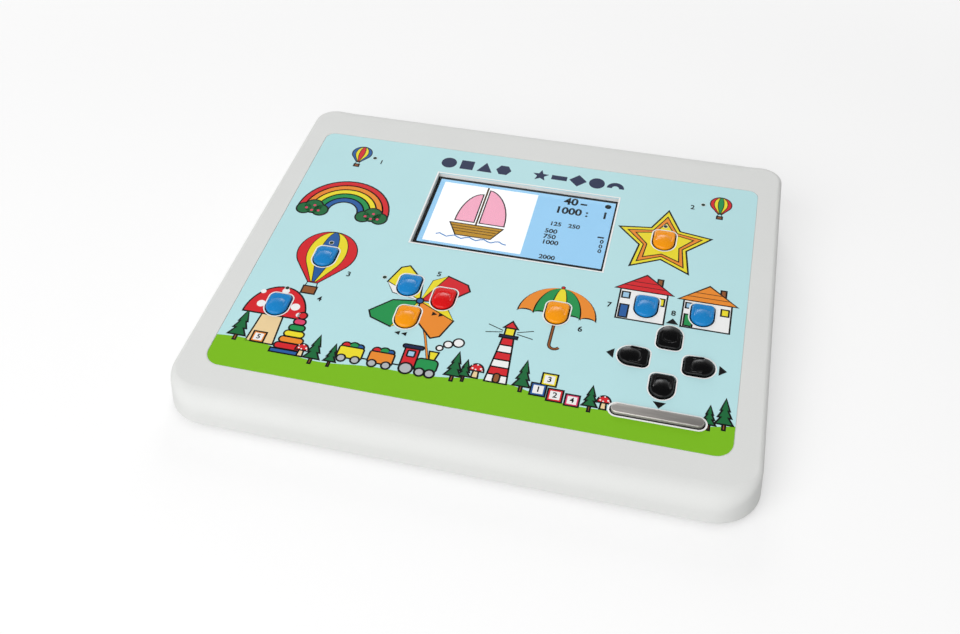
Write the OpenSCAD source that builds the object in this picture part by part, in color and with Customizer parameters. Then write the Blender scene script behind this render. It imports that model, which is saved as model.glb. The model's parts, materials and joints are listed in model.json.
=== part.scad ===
// Desktop audiometer: a low console with a sloping top, a colour display under
// a window, a printed front foil, thirteen keys, a long tone bar and a row of
// sockets along the back.
// Millimetres.  Origin at the bottom centre, +Z up, +Y to the back, +X right.
// "Panel" is the frame of the sloping top: its origin is the middle of the
// foil's front edge, +Y runs up the slope and +Z stands out of the top.

/* [Casing] */
// Width of the casing along its lower edge
case_w = 274; // [270:1:290]
// Depth of the casing along its lower edge
case_d = 234; // [231:1:245]
// Height of the sloping top over the table, at the front edge
front_h = 17.5; // [17:0.5:22]
// Slope of the top, in degrees
tilt = 5; // [4.5:0.5:7]
// Lean of the side walls, in degrees
draft = 5.4; // [4:0.2:6.4]
// Plan radius of the casing's corners
corner_r = 22; // [20:1:28]
// Rounding along the left and right top edges
side_round = 3; // [2:0.5:5]
// Rounding along the front top edge
front_round = 11; // [7:1:12]
// Rounding along the back top edge
back_round = 16; // [11:1:17]
// Wall thickness of the upper cover
wall = 2.6; // [2.2:0.1:3]
// Height of the upper cover's lower edge over the table
lip_h = 3; // [2.5:0.5:3.5]

/* [Base] */
// Height of the lower cover's underside over the table
foot_h = 1.5; // [1:0.5:2]
// Floor thickness of the lower cover
floor_t = 2.2; // [1.8:0.2:2.6]
// Height of the rim that stands up inside the upper cover
rim_h = 4; // [3:0.5:5]
// Thickness of that rim
rim_t = 1.8; // [1.4:0.2:2.4]
// Gap between the two covers
cover_gap = 0.3; // [0.2:0.1:0.5]
// Radius of a rubber foot
foot_r = 7; // [5:0.5:9]
// Depth of the pocket that holds a foot
foot_pocket = 1; // [0.6:0.2:1.2]
// Distance of a foot's centre from the casing's sides
foot_inset = 38; // [34:1:46]
// Distance of a case screw from the casing's sides
boss_inset = 20; // [18:1:22]
// Radius of a case screw boss
boss_r = 4.5; // [4.2:0.1:5]
// Height over the floor at which the two covers' bosses meet
boss_lift = 5.4; // [5:0.1:6]
// Thickness of the lower boss under its screw's seat
head_seat_t = 3; // [2.6:0.1:3.2]

/* [Foil] */
// Width of the printed foil
foil_w = 244; // [240:1:246]
// Length of the foil up the slope
foil_d = 178; // [176:1:182]
// Distance of the foil's front edge behind the casing's front edge
foil_front = 23; // [21:1:25]
// Radius of the foil's front corners
foil_front_r = 8; // [4:1:12]
// Radius of the foil's back corners
foil_back_r = 5; // [3:1:10]
// Thickness of the foil
foil_t = 0.4; // [0.2:0.1:0.6]
// Depth of the recess that the foil lies in
recess = 0.5; // [0.3:0.1:0.8]
// Gap round the foil in its recess
foil_gap = 0.25; // [0.1:0.05:0.4]

/* [Keys] */
// Width of a key
key_w = 11.6; // [10.6:0.2:12]
// Length of a key, from its flat end to its round end
key_l = 14.6; // [13.6:0.2:15]
// Corner radius at a key's flat end
key_corner = 2.8; // [1.6:0.2:4]
// Height of a key's rim over the top
key_rim = 1; // [0.6:0.1:1.6]
// Height of a key's domed crown over the top
key_crown = 2.4; // [2:0.1:3]
// How far a key goes down
key_travel = 1.2; // [0.8:0.1:1.4]
// Gap between a key and its hole in the cover
key_gap = 0.3; // [0.2:0.05:0.4]
// Gap between a key and the larger hole in the foil
foil_key_gap = 0.45; // [0.42:0.02:0.6]
// How far a key's flange reaches past the key
flange_out = 0.8; // [0.6:0.05:0.9]
// Thickness of that flange
flange_t = 1; // [0.8:0.1:1.4]
// Running gap between flange and cover
flange_gap = 0.05; // [0.03:0.01:0.1]
// Radius of a key's stem
stem_r = 2; // [1.8:0.1:2.6]
// Length of a key's stem below its flange
stem_l = 0.8; // [0.6:0.1:1.4]

/* [Arrow keys and tone bar] */
// Centre of the four arrow keys, right of the middle of the foil
pad_x = 88.1; // [86:0.1:90]
// Centre of the four arrow keys, from the foil's front edge
pad_y = 47.7; // [46.5:0.1:49]
// Distance of an arrow key from that centre
pad_step = 15.1; // [14.8:0.1:15.6]
// Length of the tone bar
bar_l = 42; // [36:1:44]
// Width of the tone bar
bar_w = 6.2; // [5.6:0.2:7]
// Height of the tone bar's rim over the top
bar_rim = 1; // [0.6:0.1:1.6]
// Height of the tone bar's ridge over the top
bar_crown = 1.8; // [1.7:0.1:2.4]
// Distance of the tone bar behind the foil's front edge
bar_y = 15.3; // [14.6:0.1:16]
// Distance of each of its two stems from its middle
bar_stem_x = 14; // [9:1:14]

/* [Display] */
// Width of the opening over the display
opening_w = 100; // [97:1:104]
// Length of the opening up the slope
opening_d = 57; // [55:1:60]
// Centre of the display, from the foil's front edge
display_y = 128.2; // [127:0.2:130]
// Thickness of the clear window
window_t = 1; // [0.8:0.1:1.4]
// How far the window reaches under the cover
window_lap = 5; // [4:0.5:6]
// Thickness of the foam gasket under the window
gasket_t = 0.5; // [0.4:0.1:0.8]
// Width of the display module
lcd_w = 105.5; // [104:0.5:108]
// Depth of the display module up the slope
lcd_d = 67.2; // [65:0.2:69]
// Height of the display module
lcd_t = 3.4; // [3:0.1:3.6]
// Width of the lit picture
active_w = 95; // [90:1:96]
// Height of the lit picture
active_d = 53.9; // [50:0.1:54.5]
// Thickness of the module's metal frame
frame_t = 0.4; // [0.3:0.1:0.5]
// Thickness of the display glass
glass_t = 1.2; // [1:0.1:1.4]

/* [Key board] */
// Width of the board that carries the key switches
pcb_w = 236; // [232:1:240]
// Front edge of that board, behind the foil's front edge
pcb_front = 6; // [4:0.5:7]
// Back edge of that board, behind the foil's front edge
pcb_back = 170; // [168:1:173]
// Thickness of both circuit boards
pcb_t = 1.6; // [1.2:0.1:1.8]
// Distance of the board screws from the board's edges
post_inset = 4; // [3.6:0.1:4.6]
// Distance of the back board screws in front of the case screws
post_ahead = 25.6; // [24:0.2:28]
// Radius of the posts and standoffs that carry the boards
post_r = 3; // [2.6:0.1:3.2]
// Side of a square key switch
switch_side = 6; // [5.6:0.1:6.4]
// Radius of a switch plunger
plunger_r = 1.7; // [1.4:0.1:1.9]
// Running gap round a plunger
plunger_gap = 0.05; // [0.03:0.01:0.1]
// Thickness of a plunger's foot
plunger_foot_t = 0.6; // [0.4:0.1:0.8]
// Radius of an indicator's lens
led_r = 1; // [0.8:0.1:1.2]
// Radius of an indicator's body
led_body_r = 1.5; // [1.4:0.1:1.7]

/* [Main board and sockets] */
// Width of the main board
main_w = 150; // [146:1:164]
// Depth of the main board
main_d = 100; // [96:1:106]
// Height of the standoffs under the main board
standoff_h = 4.3; // [4:0.1:4.6]
// Gap between the main board and the back wall
main_gap = 1.4; // [1.2:0.1:2]
// Distance between the middles of neighbouring phone sockets
jack_pitch = 22; // [20:0.5:24]
// Height of a phone socket's axis over the main board
jack_z = 5.7; // [5.4:0.1:5.8]
// Radius of a phone socket's nose
jack_nose_r = 5; // [4.6:0.1:5.1]
// Radius of a phone socket's bore
jack_bore_r = 3.2; // [3:0.05:3.4]
// Depth of a phone socket's bore
jack_bore_l = 22; // [18:1:24]
// Width of a phone socket's body
jack_w = 15; // [13:0.5:17]
// Distance of the middle phone socket left of the casing's middle
jack_x = 32; // [30:1:36]
// Distance of the data socket right of the casing's middle
usb_x = 22; // [16:1:26]
// Width of the data socket
usb_w = 12; // [11:0.5:13]
// Height of the data socket
usb_h = 10.6; // [10:0.2:10.8]
// Distance of the power socket right of the casing's middle
power_x = 50; // [44:1:56]
// Radius of the power socket's nose
power_nose_r = 4.6; // [4.2:0.1:5]
// Radius of the power socket's bore
power_bore_r = 3.1; // [2.8:0.1:3.3]

/* [Hidden] */
$fn = 48;
sliver = 0.02;                 // gap between two pieces of one body that fit
boss_room = 1;                 // room between the key board and a case screw boss
cut = 20;                      // how far a cut runs past what it cuts
corner_steps = 9;              // steps round one plan corner of the shell
edge_steps = 8;                // steps round the shell's top edge
trim = 0.05;                   // how much the flat top is cut from the rolled form

// ---- keys on the foil: name, right of the middle, up from the front, turn
// (0 has the round end at the front), colour.  Places are chosen by hand.
KEYS = [
    ["group", -89.3, 79.3, 0, "dodgerblue"],
    ["start", -100.6, 42.4, 0, "dodgerblue"],
    ["pause", -41.5, 69, 0, "dodgerblue"],
    ["forward", -22.5, 63.7, 0, "firebrick"],
    ["back", -36.5, 48.2, 0, "orange"],
    ["side", 33.4, 66.6, 0, "orange"],
    ["mode", 77.3, 128.8, 0, "orange"],
    ["menu", 74.6, 80.4, 0, "dodgerblue"],
    ["enter", 101.6, 80.4, 0, "dodgerblue"],
    ["up", pad_x, pad_y + pad_step, 180, "dimgray"],
    ["down", pad_x, pad_y - pad_step, 0, "dimgray"],
    ["left", pad_x - pad_step, pad_y, -90, "dimgray"],
    ["right", pad_x + pad_step, pad_y, 90, "dimgray"],
];
// Indicators on the foil: right of the middle, up from the front
LEDS = [[-89.5, 90], [-100.1, 54.2], [-55.1, 72], [76.9, 139.8], [-88.6, 161.2], [94.3, 161.2]];
// Where the tone bar's two stems stand
BAR_STEMS = [[pad_x - bar_stem_x, bar_y], [pad_x + bar_stem_x, bar_y]];
SWITCHES = concat([for (k = KEYS) [k[1], k[2]]], BAR_STEMS);
// Screws of the key board: the corners, the middle of each side and the front
post_shift = 8;                // how far the middle ones stand behind the halfway line
post_x = pcb_w / 2 - post_inset;
post_front = pcb_front + post_inset;
post_back = (case_d - boss_inset - post_ahead - foil_front) / cos(tilt);
post_mid = (post_front + post_back) / 2 + post_shift;
board_back = max(pcb_back, post_back + post_inset);
POSTS = [
    for (y = [post_front, post_mid, post_back], s = [-1, 1]) [s * post_x, y],
    [0, post_front],
];

// ---- heights in the panel frame, downwards from the top
ceiling = -wall;
flange_z = ceiling - flange_gap - flange_t;          // underside of a key's flange
stem_z = flange_z - stem_l;                          // end of a key's stem
plunger_out = key_travel + 0.3;                      // a plunger's stand-out at rest
switch_cap_t = 0.8;
switch_floor_t = 0.4;
cavity_h = plunger_foot_t + key_travel + 0.2;        // room for a plunger's foot
switch_h = switch_floor_t + cavity_h + switch_cap_t;
pcb_z = stem_z - plunger_out - switch_h;             // top face of the key board
window_z = ceiling - window_t;
gasket_z = window_z - gasket_t;
lcd_z = gasket_z - lcd_t;                            // underside of the module
glass_z = gasket_z - frame_t - glass_t;              // underside of the glass
module_w = max(lcd_w, opening_w + 2);                // the module covers the opening
module_d = max(lcd_d, opening_d + 2);

// ---- heights in the part's frame, upwards from the table
foil_y0 = foil_front - case_d / 2;
floor_z = foot_h + floor_t;
main_z = floor_z + standoff_h;                       // underside of the main board
main_top = main_z + pcb_t;
main_back = case_d / 2 - wall - main_gap;            // back edge of the main board
boss_z = floor_z + boss_lift;                        // lower end of the top cover's bosses
head_z = boss_z - head_seat_t;                       // seat of a case screw's head
socket_end = case_d / 2 - 0.6;                       // outer end of the sockets

// ---- screws
screw_r = 1.45;
screw_l = 9;
screw_head_r = 2.8;
screw_head_h = 2.2;
insert_r = 2.3;
insert_l = 5;
small_screw_r = 1.2;
small_screw_l = 6.6;
small_head_r = 2.2;
small_head_h = 1.6;
CORNERS = [for (sx = [-1, 1], sy = [-1, 1]) [sx, sy]];

// ======== shared shapes ========

// Height of the sloping top over the table at y
function top_z(y) = front_h + (y + case_d / 2) * tan(tilt);

// A point of the panel's middle plane, [y, z], as [y, z] in the part's frame
function from_panel(y, z) = [
    foil_y0 + y * cos(tilt) - z * sin(tilt),
    top_z(foil_y0) + y * sin(tilt) + z * cos(tilt)
];

// Moves what is drawn in the panel frame to its place on the slope
module on_panel() {
    translate([0, foil_y0, top_z(foil_y0)]) rotate([tilt, 0, 0]) children();
}

// A straight-sided plan outline with rounded corners, from y0 to y1
module round_rect(w, y0, y1, r0, r1) {
    polygon([
        [-w / 2, y0 + r0], [-w / 2 + r0, y0], [w / 2 - r0, y0], [w / 2, y0 + r0],
        [w / 2, y1 - r1], [w / 2 - r1, y1], [-w / 2 + r1, y1], [-w / 2, y1 - r1]
    ]);
    for (s = [-1, 1]) {
        translate([s * (w / 2 - r0), y0 + r0]) circle(r0);
        translate([s * (w / 2 - r1), y1 - r1]) circle(r1);
    }
}

// One upright line of the shell at plan angle a, drawn in by `inset`: the foot of
// the wall at height z0, then the arc that rolls over into the sloping top
function shell_line(a, inset, z0) =
    let (
        n = [cos(a), sin(a)],
        middle = [sign(n.x) * (case_w / 2 - corner_r), sign(n.y) * (case_d / 2 - corner_r)],
        p = middle + n * (corner_r - inset + (lip_h - z0) * tan(draft)),
        end_round = n.y < 0 ? front_round : back_round,
        r = max(side_round + (end_round - side_round) * n.y * n.y - inset, 0.6),
        k = n.y * tan(tilt),
        h = top_z(p.y) + (trim - inset) / cos(tilt) - z0 - r * norm([1, k]),
        det = cos(draft) + k * sin(draft),
        u = (r + sin(draft) * h) / det,
        z = (cos(draft) * h - k * r) / det,
        a0 = 180 - draft,
        a1 = atan2(1, k)
    )
    concat(
        [[p.x, p.y, z0]],
        [for (i = [0 : edge_steps])
            let (t = a0 + (a1 - a0) * i / edge_steps, v = u + r * cos(t))
            [p.x - n.x * v, p.y - n.y * v, z0 + z + r * sin(t)]]
    );

// The closed form of the casing, drawn in by `inset` and down to height z0,
// its rolled edges trimmed level with the sloping top
module shell_form(inset, z0) {
    // each corner's angles stop a hair short of its neighbour's
    angles = [for (q = [0 : 3], i = [0 : corner_steps]) q * 90 + 0.01 + 89.98 * i / corner_steps];
    lines = [for (a = angles) shell_line(a, inset, z0)];
    n = len(lines);
    rings = edge_steps + 2;
    sides = [for (i = [0 : rings - 2], j = [0 : n - 1]) let (m = (j + 1) % n)
        each [[i * n + j, (i + 1) * n + j, (i + 1) * n + m], [i * n + j, (i + 1) * n + m, i * n + m]]];
    bottom = [for (j = [0 : n - 1]) j];
    top = [for (j = [n - 1 : -1 : 0]) (rings - 1) * n + j];
    difference() {
        polyhedron(
            points = [for (i = [0 : rings - 1], l = lines) l[i]],
            faces = concat([bottom], sides, [top]),
            convexity = 4
        );
        on_panel() translate([-case_w, -case_d, -inset]) cube([2 * case_w, 3 * case_d, cut]);
    }
}

// A key's outline, larger by `grow`: round at the front, flat at the back
module key_outline(grow = 0) {
    w = key_w + 2 * grow;
    round_y = -(key_l - key_w) / 2;
    back_y = key_l / 2 + grow;
    r = key_corner + grow;
    translate([0, round_y]) circle(w / 2);
    polygon([
        [-w / 2, round_y], [w / 2, round_y], [w / 2, back_y - r],
        [w / 2 - r, back_y], [-w / 2 + r, back_y], [-w / 2, back_y - r]
    ]);
    for (s = [-1, 1]) translate([s * (w / 2 - r), back_y - r]) circle(r);
}

// The tone bar's outline, larger by `grow`
module bar_outline(grow = 0) {
    x = (bar_l - bar_w) / 2;
    square([2 * x, bar_w + 2 * grow], center = true);
    for (s = [-1, 1]) translate([s * x, 0]) circle(bar_w / 2 + grow);
}

// Every key's and the tone bar's outline in place on the panel
module key_outlines(grow) {
    for (k = KEYS) translate([k[1], k[2]]) rotate(k[3]) key_outline(grow);
    translate([pad_x, bar_y]) bar_outline(grow);
}

// Radius of the ball that rises from `rim` to `crown` over the half width `half`
function crown_r(half, rise) = (half * half + rise * rise) / (2 * rise);

// A cable ribbon along the points of a side view, [y, z], t thick and w wide
module ribbon(points, t, w) {
    n = len(points);
    function side(i) =
        let (d = points[min(i + 1, n - 1)] - points[max(i - 1, 0)])
        [-d.y, d.x] / norm(d) * t / 2;
    outline = concat(
        [for (i = [0 : n - 1]) points[i] + side(i)],
        [for (i = [n - 1 : -1 : 0]) points[i] - side(i)]
    );
    rotate([90, 0, 90]) linear_extrude(w, center = true) polygon(outline);
}

// ======== casing ========

module top_cover() color("gainsboro") {
    difference() {
        shell_form(0, lip_h);
        shell_form(wall, lip_h - 1);
        on_panel() {
            translate([0, 0, -recess]) linear_extrude(cut)
                round_rect(foil_w + 2 * foil_gap, -foil_gap, foil_d + foil_gap,
                    foil_front_r + foil_gap, foil_back_r + foil_gap);
            translate([0, 0, ceiling - 1]) linear_extrude(cut) key_outlines(key_gap);
            translate([-opening_w / 2, display_y - opening_d / 2, ceiling - 1])
                cube([opening_w, opening_d, cut]);
            for (p = LEDS) translate([p.x, p.y, ceiling - 1]) cylinder(r = led_r + 0.1, h = cut);
        }
        rear_cuts();
    }
    for (c = CORNERS) case_boss(c);
    on_panel() for (p = POSTS) translate([p.x, p.y, pcb_z]) difference() {
        cylinder(r = post_r, h = ceiling - pcb_z + wall / 2);
        translate([0, 0, -1]) cylinder(r = small_screw_r + 0.05, h = small_screw_l - pcb_t + 1.3);
    }
}

// A boss that hangs from the top, with the seat of its insert
module case_boss(c) {
    x = c.x * (case_w / 2 - boss_inset);
    y = c.y * (case_d / 2 - boss_inset);
    translate([x, y, boss_z + 0.1]) difference() {
        cylinder(r = boss_r, h = top_z(y) - wall / 2 - boss_z - 0.1);
        translate([0, 0, -1]) cylinder(r = insert_r + sliver, h = insert_l + 1);
        translate([0, 0, -1]) cylinder(r = screw_r + 0.1, h = head_z + screw_l - boss_z + 1.3);
    }
}

// The holes in the back wall that the sockets look out of
module rear_cuts() {
    y = case_d / 2 - wall - 6;
    for (i = [-1, 0, 1]) translate([i * jack_pitch - jack_x, y, main_top + jack_z])
        rotate([-90, 0, 0]) cylinder(r = jack_nose_r + 0.2, h = cut);
    translate([usb_x - usb_w / 2 - 0.3, y, main_top - 0.3]) cube([usb_w + 0.6, cut, usb_h + 0.6]);
    translate([power_x, y, main_top + jack_z]) rotate([-90, 0, 0])
        cylinder(r = power_nose_r + 0.2, h = cut);
}

module bottom_cover() color("gainsboro") {
    edge = wall + cover_gap;
    w = case_w - 2 * edge;
    d = case_d - 2 * edge;
    r = corner_r - edge;
    lean = (floor_z + rim_h - lip_h) * tan(draft);       // the wall's lean at the rim's top
    in_w = w - 2 * lean;
    in_d = d - 2 * lean;
    difference() {
        union() {
            translate([0, 0, foot_h]) linear_extrude(floor_t) round_rect(w, -d / 2, d / 2, r, r);
            translate([0, 0, foot_h]) linear_extrude(floor_t + rim_h) difference() {
                round_rect(in_w, -in_d / 2, in_d / 2, r - lean, r - lean);
                round_rect(in_w - 2 * rim_t, rim_t - in_d / 2, in_d / 2 - rim_t,
                    r - lean - rim_t, r - lean - rim_t);
            }
            for (c = CORNERS) {
                at_case_screw(c) translate([0, 0, foot_h]) cylinder(r = boss_r, h = boss_z - foot_h);
                at_standoff(c) translate([0, 0, foot_h]) cylinder(r = post_r, h = main_z - foot_h);
            }
        }
        for (c = CORNERS) at_case_screw(c) {
            translate([0, 0, foot_h - 1]) cylinder(r = screw_head_r + 0.4, h = head_z - foot_h + 1);
            cylinder(r = screw_r + 0.25, h = cut);
        }
        for (c = CORNERS) at_standoff(c)
            translate([0, 0, main_top - small_screw_l - 0.3]) cylinder(r = small_screw_r + 0.05, h = cut);
        for (c = CORNERS) at_foot(c) translate([0, 0, foot_h - 1])
            cylinder(r = foot_r + 0.1, h = foot_pocket + 1);
    }
}

module at_case_screw(c) {
    translate([c.x * (case_w / 2 - boss_inset), c.y * (case_d / 2 - boss_inset), 0]) children();
}

module at_foot(c) {
    translate([c.x * (case_w / 2 - foot_inset), c.y * (case_d / 2 - foot_inset), 0]) children();
}

module at_standoff(c) {
    translate([
        c.x * (main_w / 2 - post_inset),
        main_back - main_d / 2 + c.y * (main_d / 2 - post_inset),
        0
    ]) children();
}

module rubber_feet() color("dimgray") {
    for (c = CORNERS) at_foot(c) rotate_extrude() polygon([
        [0, 0], [foot_r - 0.6, 0], [foot_r, 0.6], [foot_r, foot_h + foot_pocket], [0, foot_h + foot_pocket]
    ]);
}

module case_screws() color("silver") {
    for (c = CORNERS) at_case_screw(c) translate([0, 0, head_z]) difference() {
        union() {
            cylinder(r = screw_r, h = screw_l);
            translate([0, 0, -screw_head_h]) cylinder(r = screw_head_r, h = screw_head_h);
        }
        translate([0, 0, -screw_head_h - 1]) cylinder(r = 1.5, h = 2.2, $fn = 6);
    }
}

module threaded_inserts() color("goldenrod") {
    for (c = CORNERS) at_case_screw(c) translate([0, 0, boss_z + 0.1]) difference() {
        cylinder(r = insert_r, h = insert_l - 0.1);
        translate([0, 0, -1]) cylinder(r = screw_r + 0.05, h = insert_l + 2);
    }
}

module front_foil() color("powderblue") on_panel() {
    difference() {
        translate([0, 0, -recess]) linear_extrude(foil_t)
            round_rect(foil_w, 0, foil_d, foil_front_r, foil_back_r);
        translate([0, 0, -cut / 2]) linear_extrude(cut) key_outlines(foil_key_gap);
        translate([-opening_w / 2, display_y - opening_d / 2, -cut / 2]) cube([opening_w, opening_d, cut]);
        for (p = LEDS) translate([p.x, p.y, -cut / 2]) cylinder(r = led_r + 0.1, h = cut);
    }
}

// ======== display ========

// A plate centred on the display, w by d, from height z0 up by t
module display_plate(w, d, z0, t) {
    translate([-w / 2, display_y - d / 2, z0]) cube([w, d, t]);
}

module screen_window() color("lightcyan", 0.5) on_panel() {
    display_plate(opening_w + 2 * window_lap, opening_d + 2 * window_lap, window_z, window_t);
}

module display_gasket() color("dimgray") on_panel() difference() {
    display_plate(module_w, module_d, gasket_z, gasket_t);
    display_plate(active_w + 3, active_d + 3, gasket_z - 1, gasket_t + 2);
}

module display_frame() color("silver") on_panel() difference() {
    display_plate(module_w, module_d, lcd_z, lcd_t);
    display_plate(active_w + 1, active_d + 1, lcd_z - 1, lcd_t + 2);
    display_plate(module_w - 2 * frame_t, module_d - 2 * frame_t, lcd_z - 1, lcd_t - frame_t + 1);
}

module display_glass() color("lightskyblue") on_panel() {
    side = 2 * frame_t + 2 * sliver;
    display_plate(module_w - side, module_d - side, glass_z, glass_t);
}

module display_backlight() color("whitesmoke") on_panel() {
    side = 2 * frame_t + 2 * sliver;
    display_plate(module_w - side, module_d - side, lcd_z, glass_z - lcd_z);
}

// Foam between the display module and the key board
module display_pad() color("dimgray") on_panel() {
    display_plate(module_w - 12, module_d - 12, pcb_z, lcd_z - pcb_z);
}

cable_y = display_y - module_d / 2;                  // where the flat cable leaves the display
cable_w = 36;                                        // width of the flat cable
cable_t = 0.3;                                       // its thickness
cable_bend = 2;                                      // length of each bend in it
cable_straight = 2.5;                                // length of its straight ends
cable_socket_w = 40;                                 // width of its socket
cable_socket_d = 5;                                  // depth of its socket
cable_socket_t = 1.2;                                // height of its socket
cable_grip = 2;                                      // how far it goes into its socket

// The display's flat cable, from its front edge down to the key board
module display_cable() color("goldenrod") on_panel() {
    high = lcd_z + lcd_t / 4;
    low = pcb_z + cable_socket_t / 2;
    y0 = cable_y - cable_straight;
    ribbon([[cable_y, high], [y0, high], [y0 - cable_bend, (high + low) / 2],
        [y0 - 2 * cable_bend, low], [y0 - 2 * cable_bend - cable_straight, low]], cable_t, cable_w);
}

module indicators() color("darkolivegreen") on_panel() {
    for (p = LEDS) translate([p.x, p.y, pcb_z]) {
        cylinder(r = led_body_r, h = ceiling - pcb_z - 0.1);
        cylinder(r = led_r, h = -pcb_z);
    }
}

// ======== keys ========

module key_cap(k) color(k[4]) on_panel() translate([k[1], k[2], 0]) rotate(k[3]) {
    translate([0, 0, flange_z]) linear_extrude(flange_t) key_outline(flange_out);
    translate([0, 0, flange_z]) linear_extrude(key_rim - flange_z) key_outline();
    ball = crown_r(key_w / 2, key_crown - key_rim);
    intersection() {
        linear_extrude(key_crown) key_outline();
        translate([0, -(key_l - key_w) / 2, key_crown - ball]) sphere(ball);
    }
    translate([0, 0, stem_z]) cylinder(r = stem_r, h = flange_t + stem_l);
}

module tone_bar() color("darkgray") on_panel() translate([pad_x, bar_y, 0]) {
    translate([0, 0, flange_z]) linear_extrude(flange_t) bar_outline(flange_out);
    translate([0, 0, flange_z]) linear_extrude(bar_rim - flange_z) bar_outline();
    ridge = crown_r(bar_w / 2, bar_crown - bar_rim);
    intersection() {
        linear_extrude(bar_crown) bar_outline();
        translate([0, 0, bar_crown - ridge]) rotate([0, 90, 0])
            cylinder(r = ridge, h = bar_l, center = true);
    }
    for (s = [-1, 1]) translate([s * bar_stem_x, 0, stem_z]) cylinder(r = stem_r, h = flange_t + stem_l);
}

// A switch's plunger at panel point p: a foot inside the switch, a pin out of it
module plunger(p) {
    foot_z = pcb_z + switch_floor_t + cavity_h - plunger_foot_t - sliver;
    translate([p.x, p.y, foot_z]) {
        cylinder(r = plunger_r, h = stem_z - foot_z);
        cylinder(r = plunger_r + 0.6, h = plunger_foot_t);
    }
}

module key_plunger(k) color("black") on_panel() plunger([k[1], k[2]]);

module tone_plungers() color("black") on_panel() for (p = BAR_STEMS) plunger(p);

module key_switches() color("dimgray") on_panel() for (p = SWITCHES) translate([p.x, p.y, pcb_z])
    difference() {
        translate([-switch_side / 2, -switch_side / 2, 0]) cube([switch_side, switch_side, switch_h]);
        translate([0, 0, switch_floor_t]) cylinder(r = plunger_r + 0.7, h = cavity_h);
        translate([0, 0, switch_floor_t]) cylinder(r = plunger_r + plunger_gap, h = switch_h);
    }

// ======== boards ========

module key_board() color("seagreen") difference() {
    on_panel() difference() {
        translate([-pcb_w / 2, pcb_front, pcb_z - pcb_t]) cube([pcb_w, board_back - pcb_front, pcb_t]);
        for (p = POSTS) translate([p.x, p.y, pcb_z - cut]) cylinder(r = small_screw_r + 0.15, h = 2 * cut);
    }
    // room for the case screw bosses, should a shorter casing bring them near
    for (c = CORNERS) at_case_screw(c) cylinder(r = boss_r + boss_room, h = 3 * cut);
}

module main_board() color("seagreen") difference() {
    translate([-main_w / 2, main_back - main_d, main_z]) cube([main_w, main_d, pcb_t]);
    for (c = CORNERS) at_standoff(c) cylinder(r = small_screw_r + 0.15, h = cut);
}

// A small screw with its head's underside at the origin and its shank along +Z
module small_screw() {
    cylinder(r = small_screw_r, h = small_screw_l);
    translate([0, 0, -small_head_h]) cylinder(r = small_head_r, h = small_head_h);
}

module board_screws() color("silver") {
    on_panel() for (p = POSTS) translate([p.x, p.y, pcb_z - pcb_t]) small_screw();
    for (c = CORNERS) at_standoff(c) translate([0, 0, main_top]) rotate([180, 0, 0]) small_screw();
}

// A box on the main board, centred at x, its front at y behind the board's front edge
module on_main(x, y, w, d, h) {
    translate([x - w / 2, main_back - main_d + y, main_top]) cube([w, d, h]);
}

// Chips: right of the middle, behind the board's front edge, width, depth, height
CHIPS = [
    [-20, 6, 14, 14, 1.4],
    [8, 10, 10, 6, 1.2],
    [-44, 10, 5, 6, 1.6],
    [-54, 10, 5, 6, 1.6],
    [30, 9, 6.5, 7, 1.8],
];

module board_chips() color("dimgray") {
    for (c = CHIPS) on_main(c[0], c[1], c[2], c[3], c[4]);
}

capacitor_r = 3;                                     // radius of a capacitor
capacitor_h = 6;                                     // its height
capacitor_x = 44;                                    // the first one, right of the middle
capacitor_y = 30;                                    // and behind the board's front edge
capacitor_pitch = 8;                                 // from one to the next

module board_capacitors() color("slategray") {
    for (i = [0 : 2])
        translate([capacitor_x + i * capacitor_pitch, main_back - main_d + capacitor_y, main_top])
            cylinder(r = capacitor_r, h = capacitor_h);
}

relay_w = 7.4;                                       // width of a relay
relay_d = 15;                                        // its depth
relay_h = 7;                                         // its height
relay_x = 60;                                        // the first one, left of the middle
relay_y = 52;                                        // and behind the board's front edge
relay_pitch = 10;                                    // from one to the next

module board_relays() color("whitesmoke") {
    for (i = [0 : 2]) on_main(i * relay_pitch - relay_x, relay_y, relay_w, relay_d, relay_h);
}

header_gap = 0.2;              // gap between a connector and its ribbon
header_stub = 0.8;             // length of the ribbon's straight ends
ribbon_t = 0.8;                // thickness of the ribbon
ribbon_bow = 5;                // how wide its slack bow swings
header_y = 150;                // front of the key board's lower connector, in the panel frame
header_h = 2.4;                // height of a cable connector
header_d = 6;                  // depth of a cable connector
header_w = 26;                 // width of a cable connector
header_ahead = 14;             // how far the lower one stands in front of the upper
low_header_y = from_panel(header_y, 0).x - main_back + main_d - header_ahead;

module cable_connectors() color("ivory") {
    end_y = cable_y - 2 * (cable_straight + cable_bend);
    slot_w = cable_w + 0.4;
    on_panel() translate([-cable_socket_w / 2, end_y + cable_grip - cable_socket_d, pcb_z]) difference() {
        cube([cable_socket_w, cable_socket_d, cable_socket_t]);
        translate([(cable_socket_w - slot_w) / 2, cable_socket_d - cable_grip - 0.1, cable_socket_t / 4])
            cube([slot_w, cable_socket_d, cable_socket_t / 2]);
    }
    on_panel() translate([-header_w / 2, header_y, pcb_z - pcb_t - header_h])
        cube([header_w, header_d, header_h]);
    on_main(0, low_header_y, header_w, header_d, header_h);
}

// The ribbon between the two boards, hanging in a slack bow
module key_board_cable() color("lightgray") {
    from = from_panel(header_y + header_d / 2, pcb_z - pcb_t - header_h) - [0, header_gap];
    to = [main_back - main_d + low_header_y + header_d / 2, main_top + header_h + header_gap];
    high = from.y - header_stub;
    low = to.y + header_stub;
    steps = 8;
    bow = [for (i = [0 : steps]) let (t = i / steps)
        [from.x + (to.x - from.x) * t + ribbon_bow / 2 * sin(360 * t), high + (low - high) * t]];
    ribbon(concat([from], bow, [to]), ribbon_t, header_w - 4);
}

// ======== sockets ========

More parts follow.
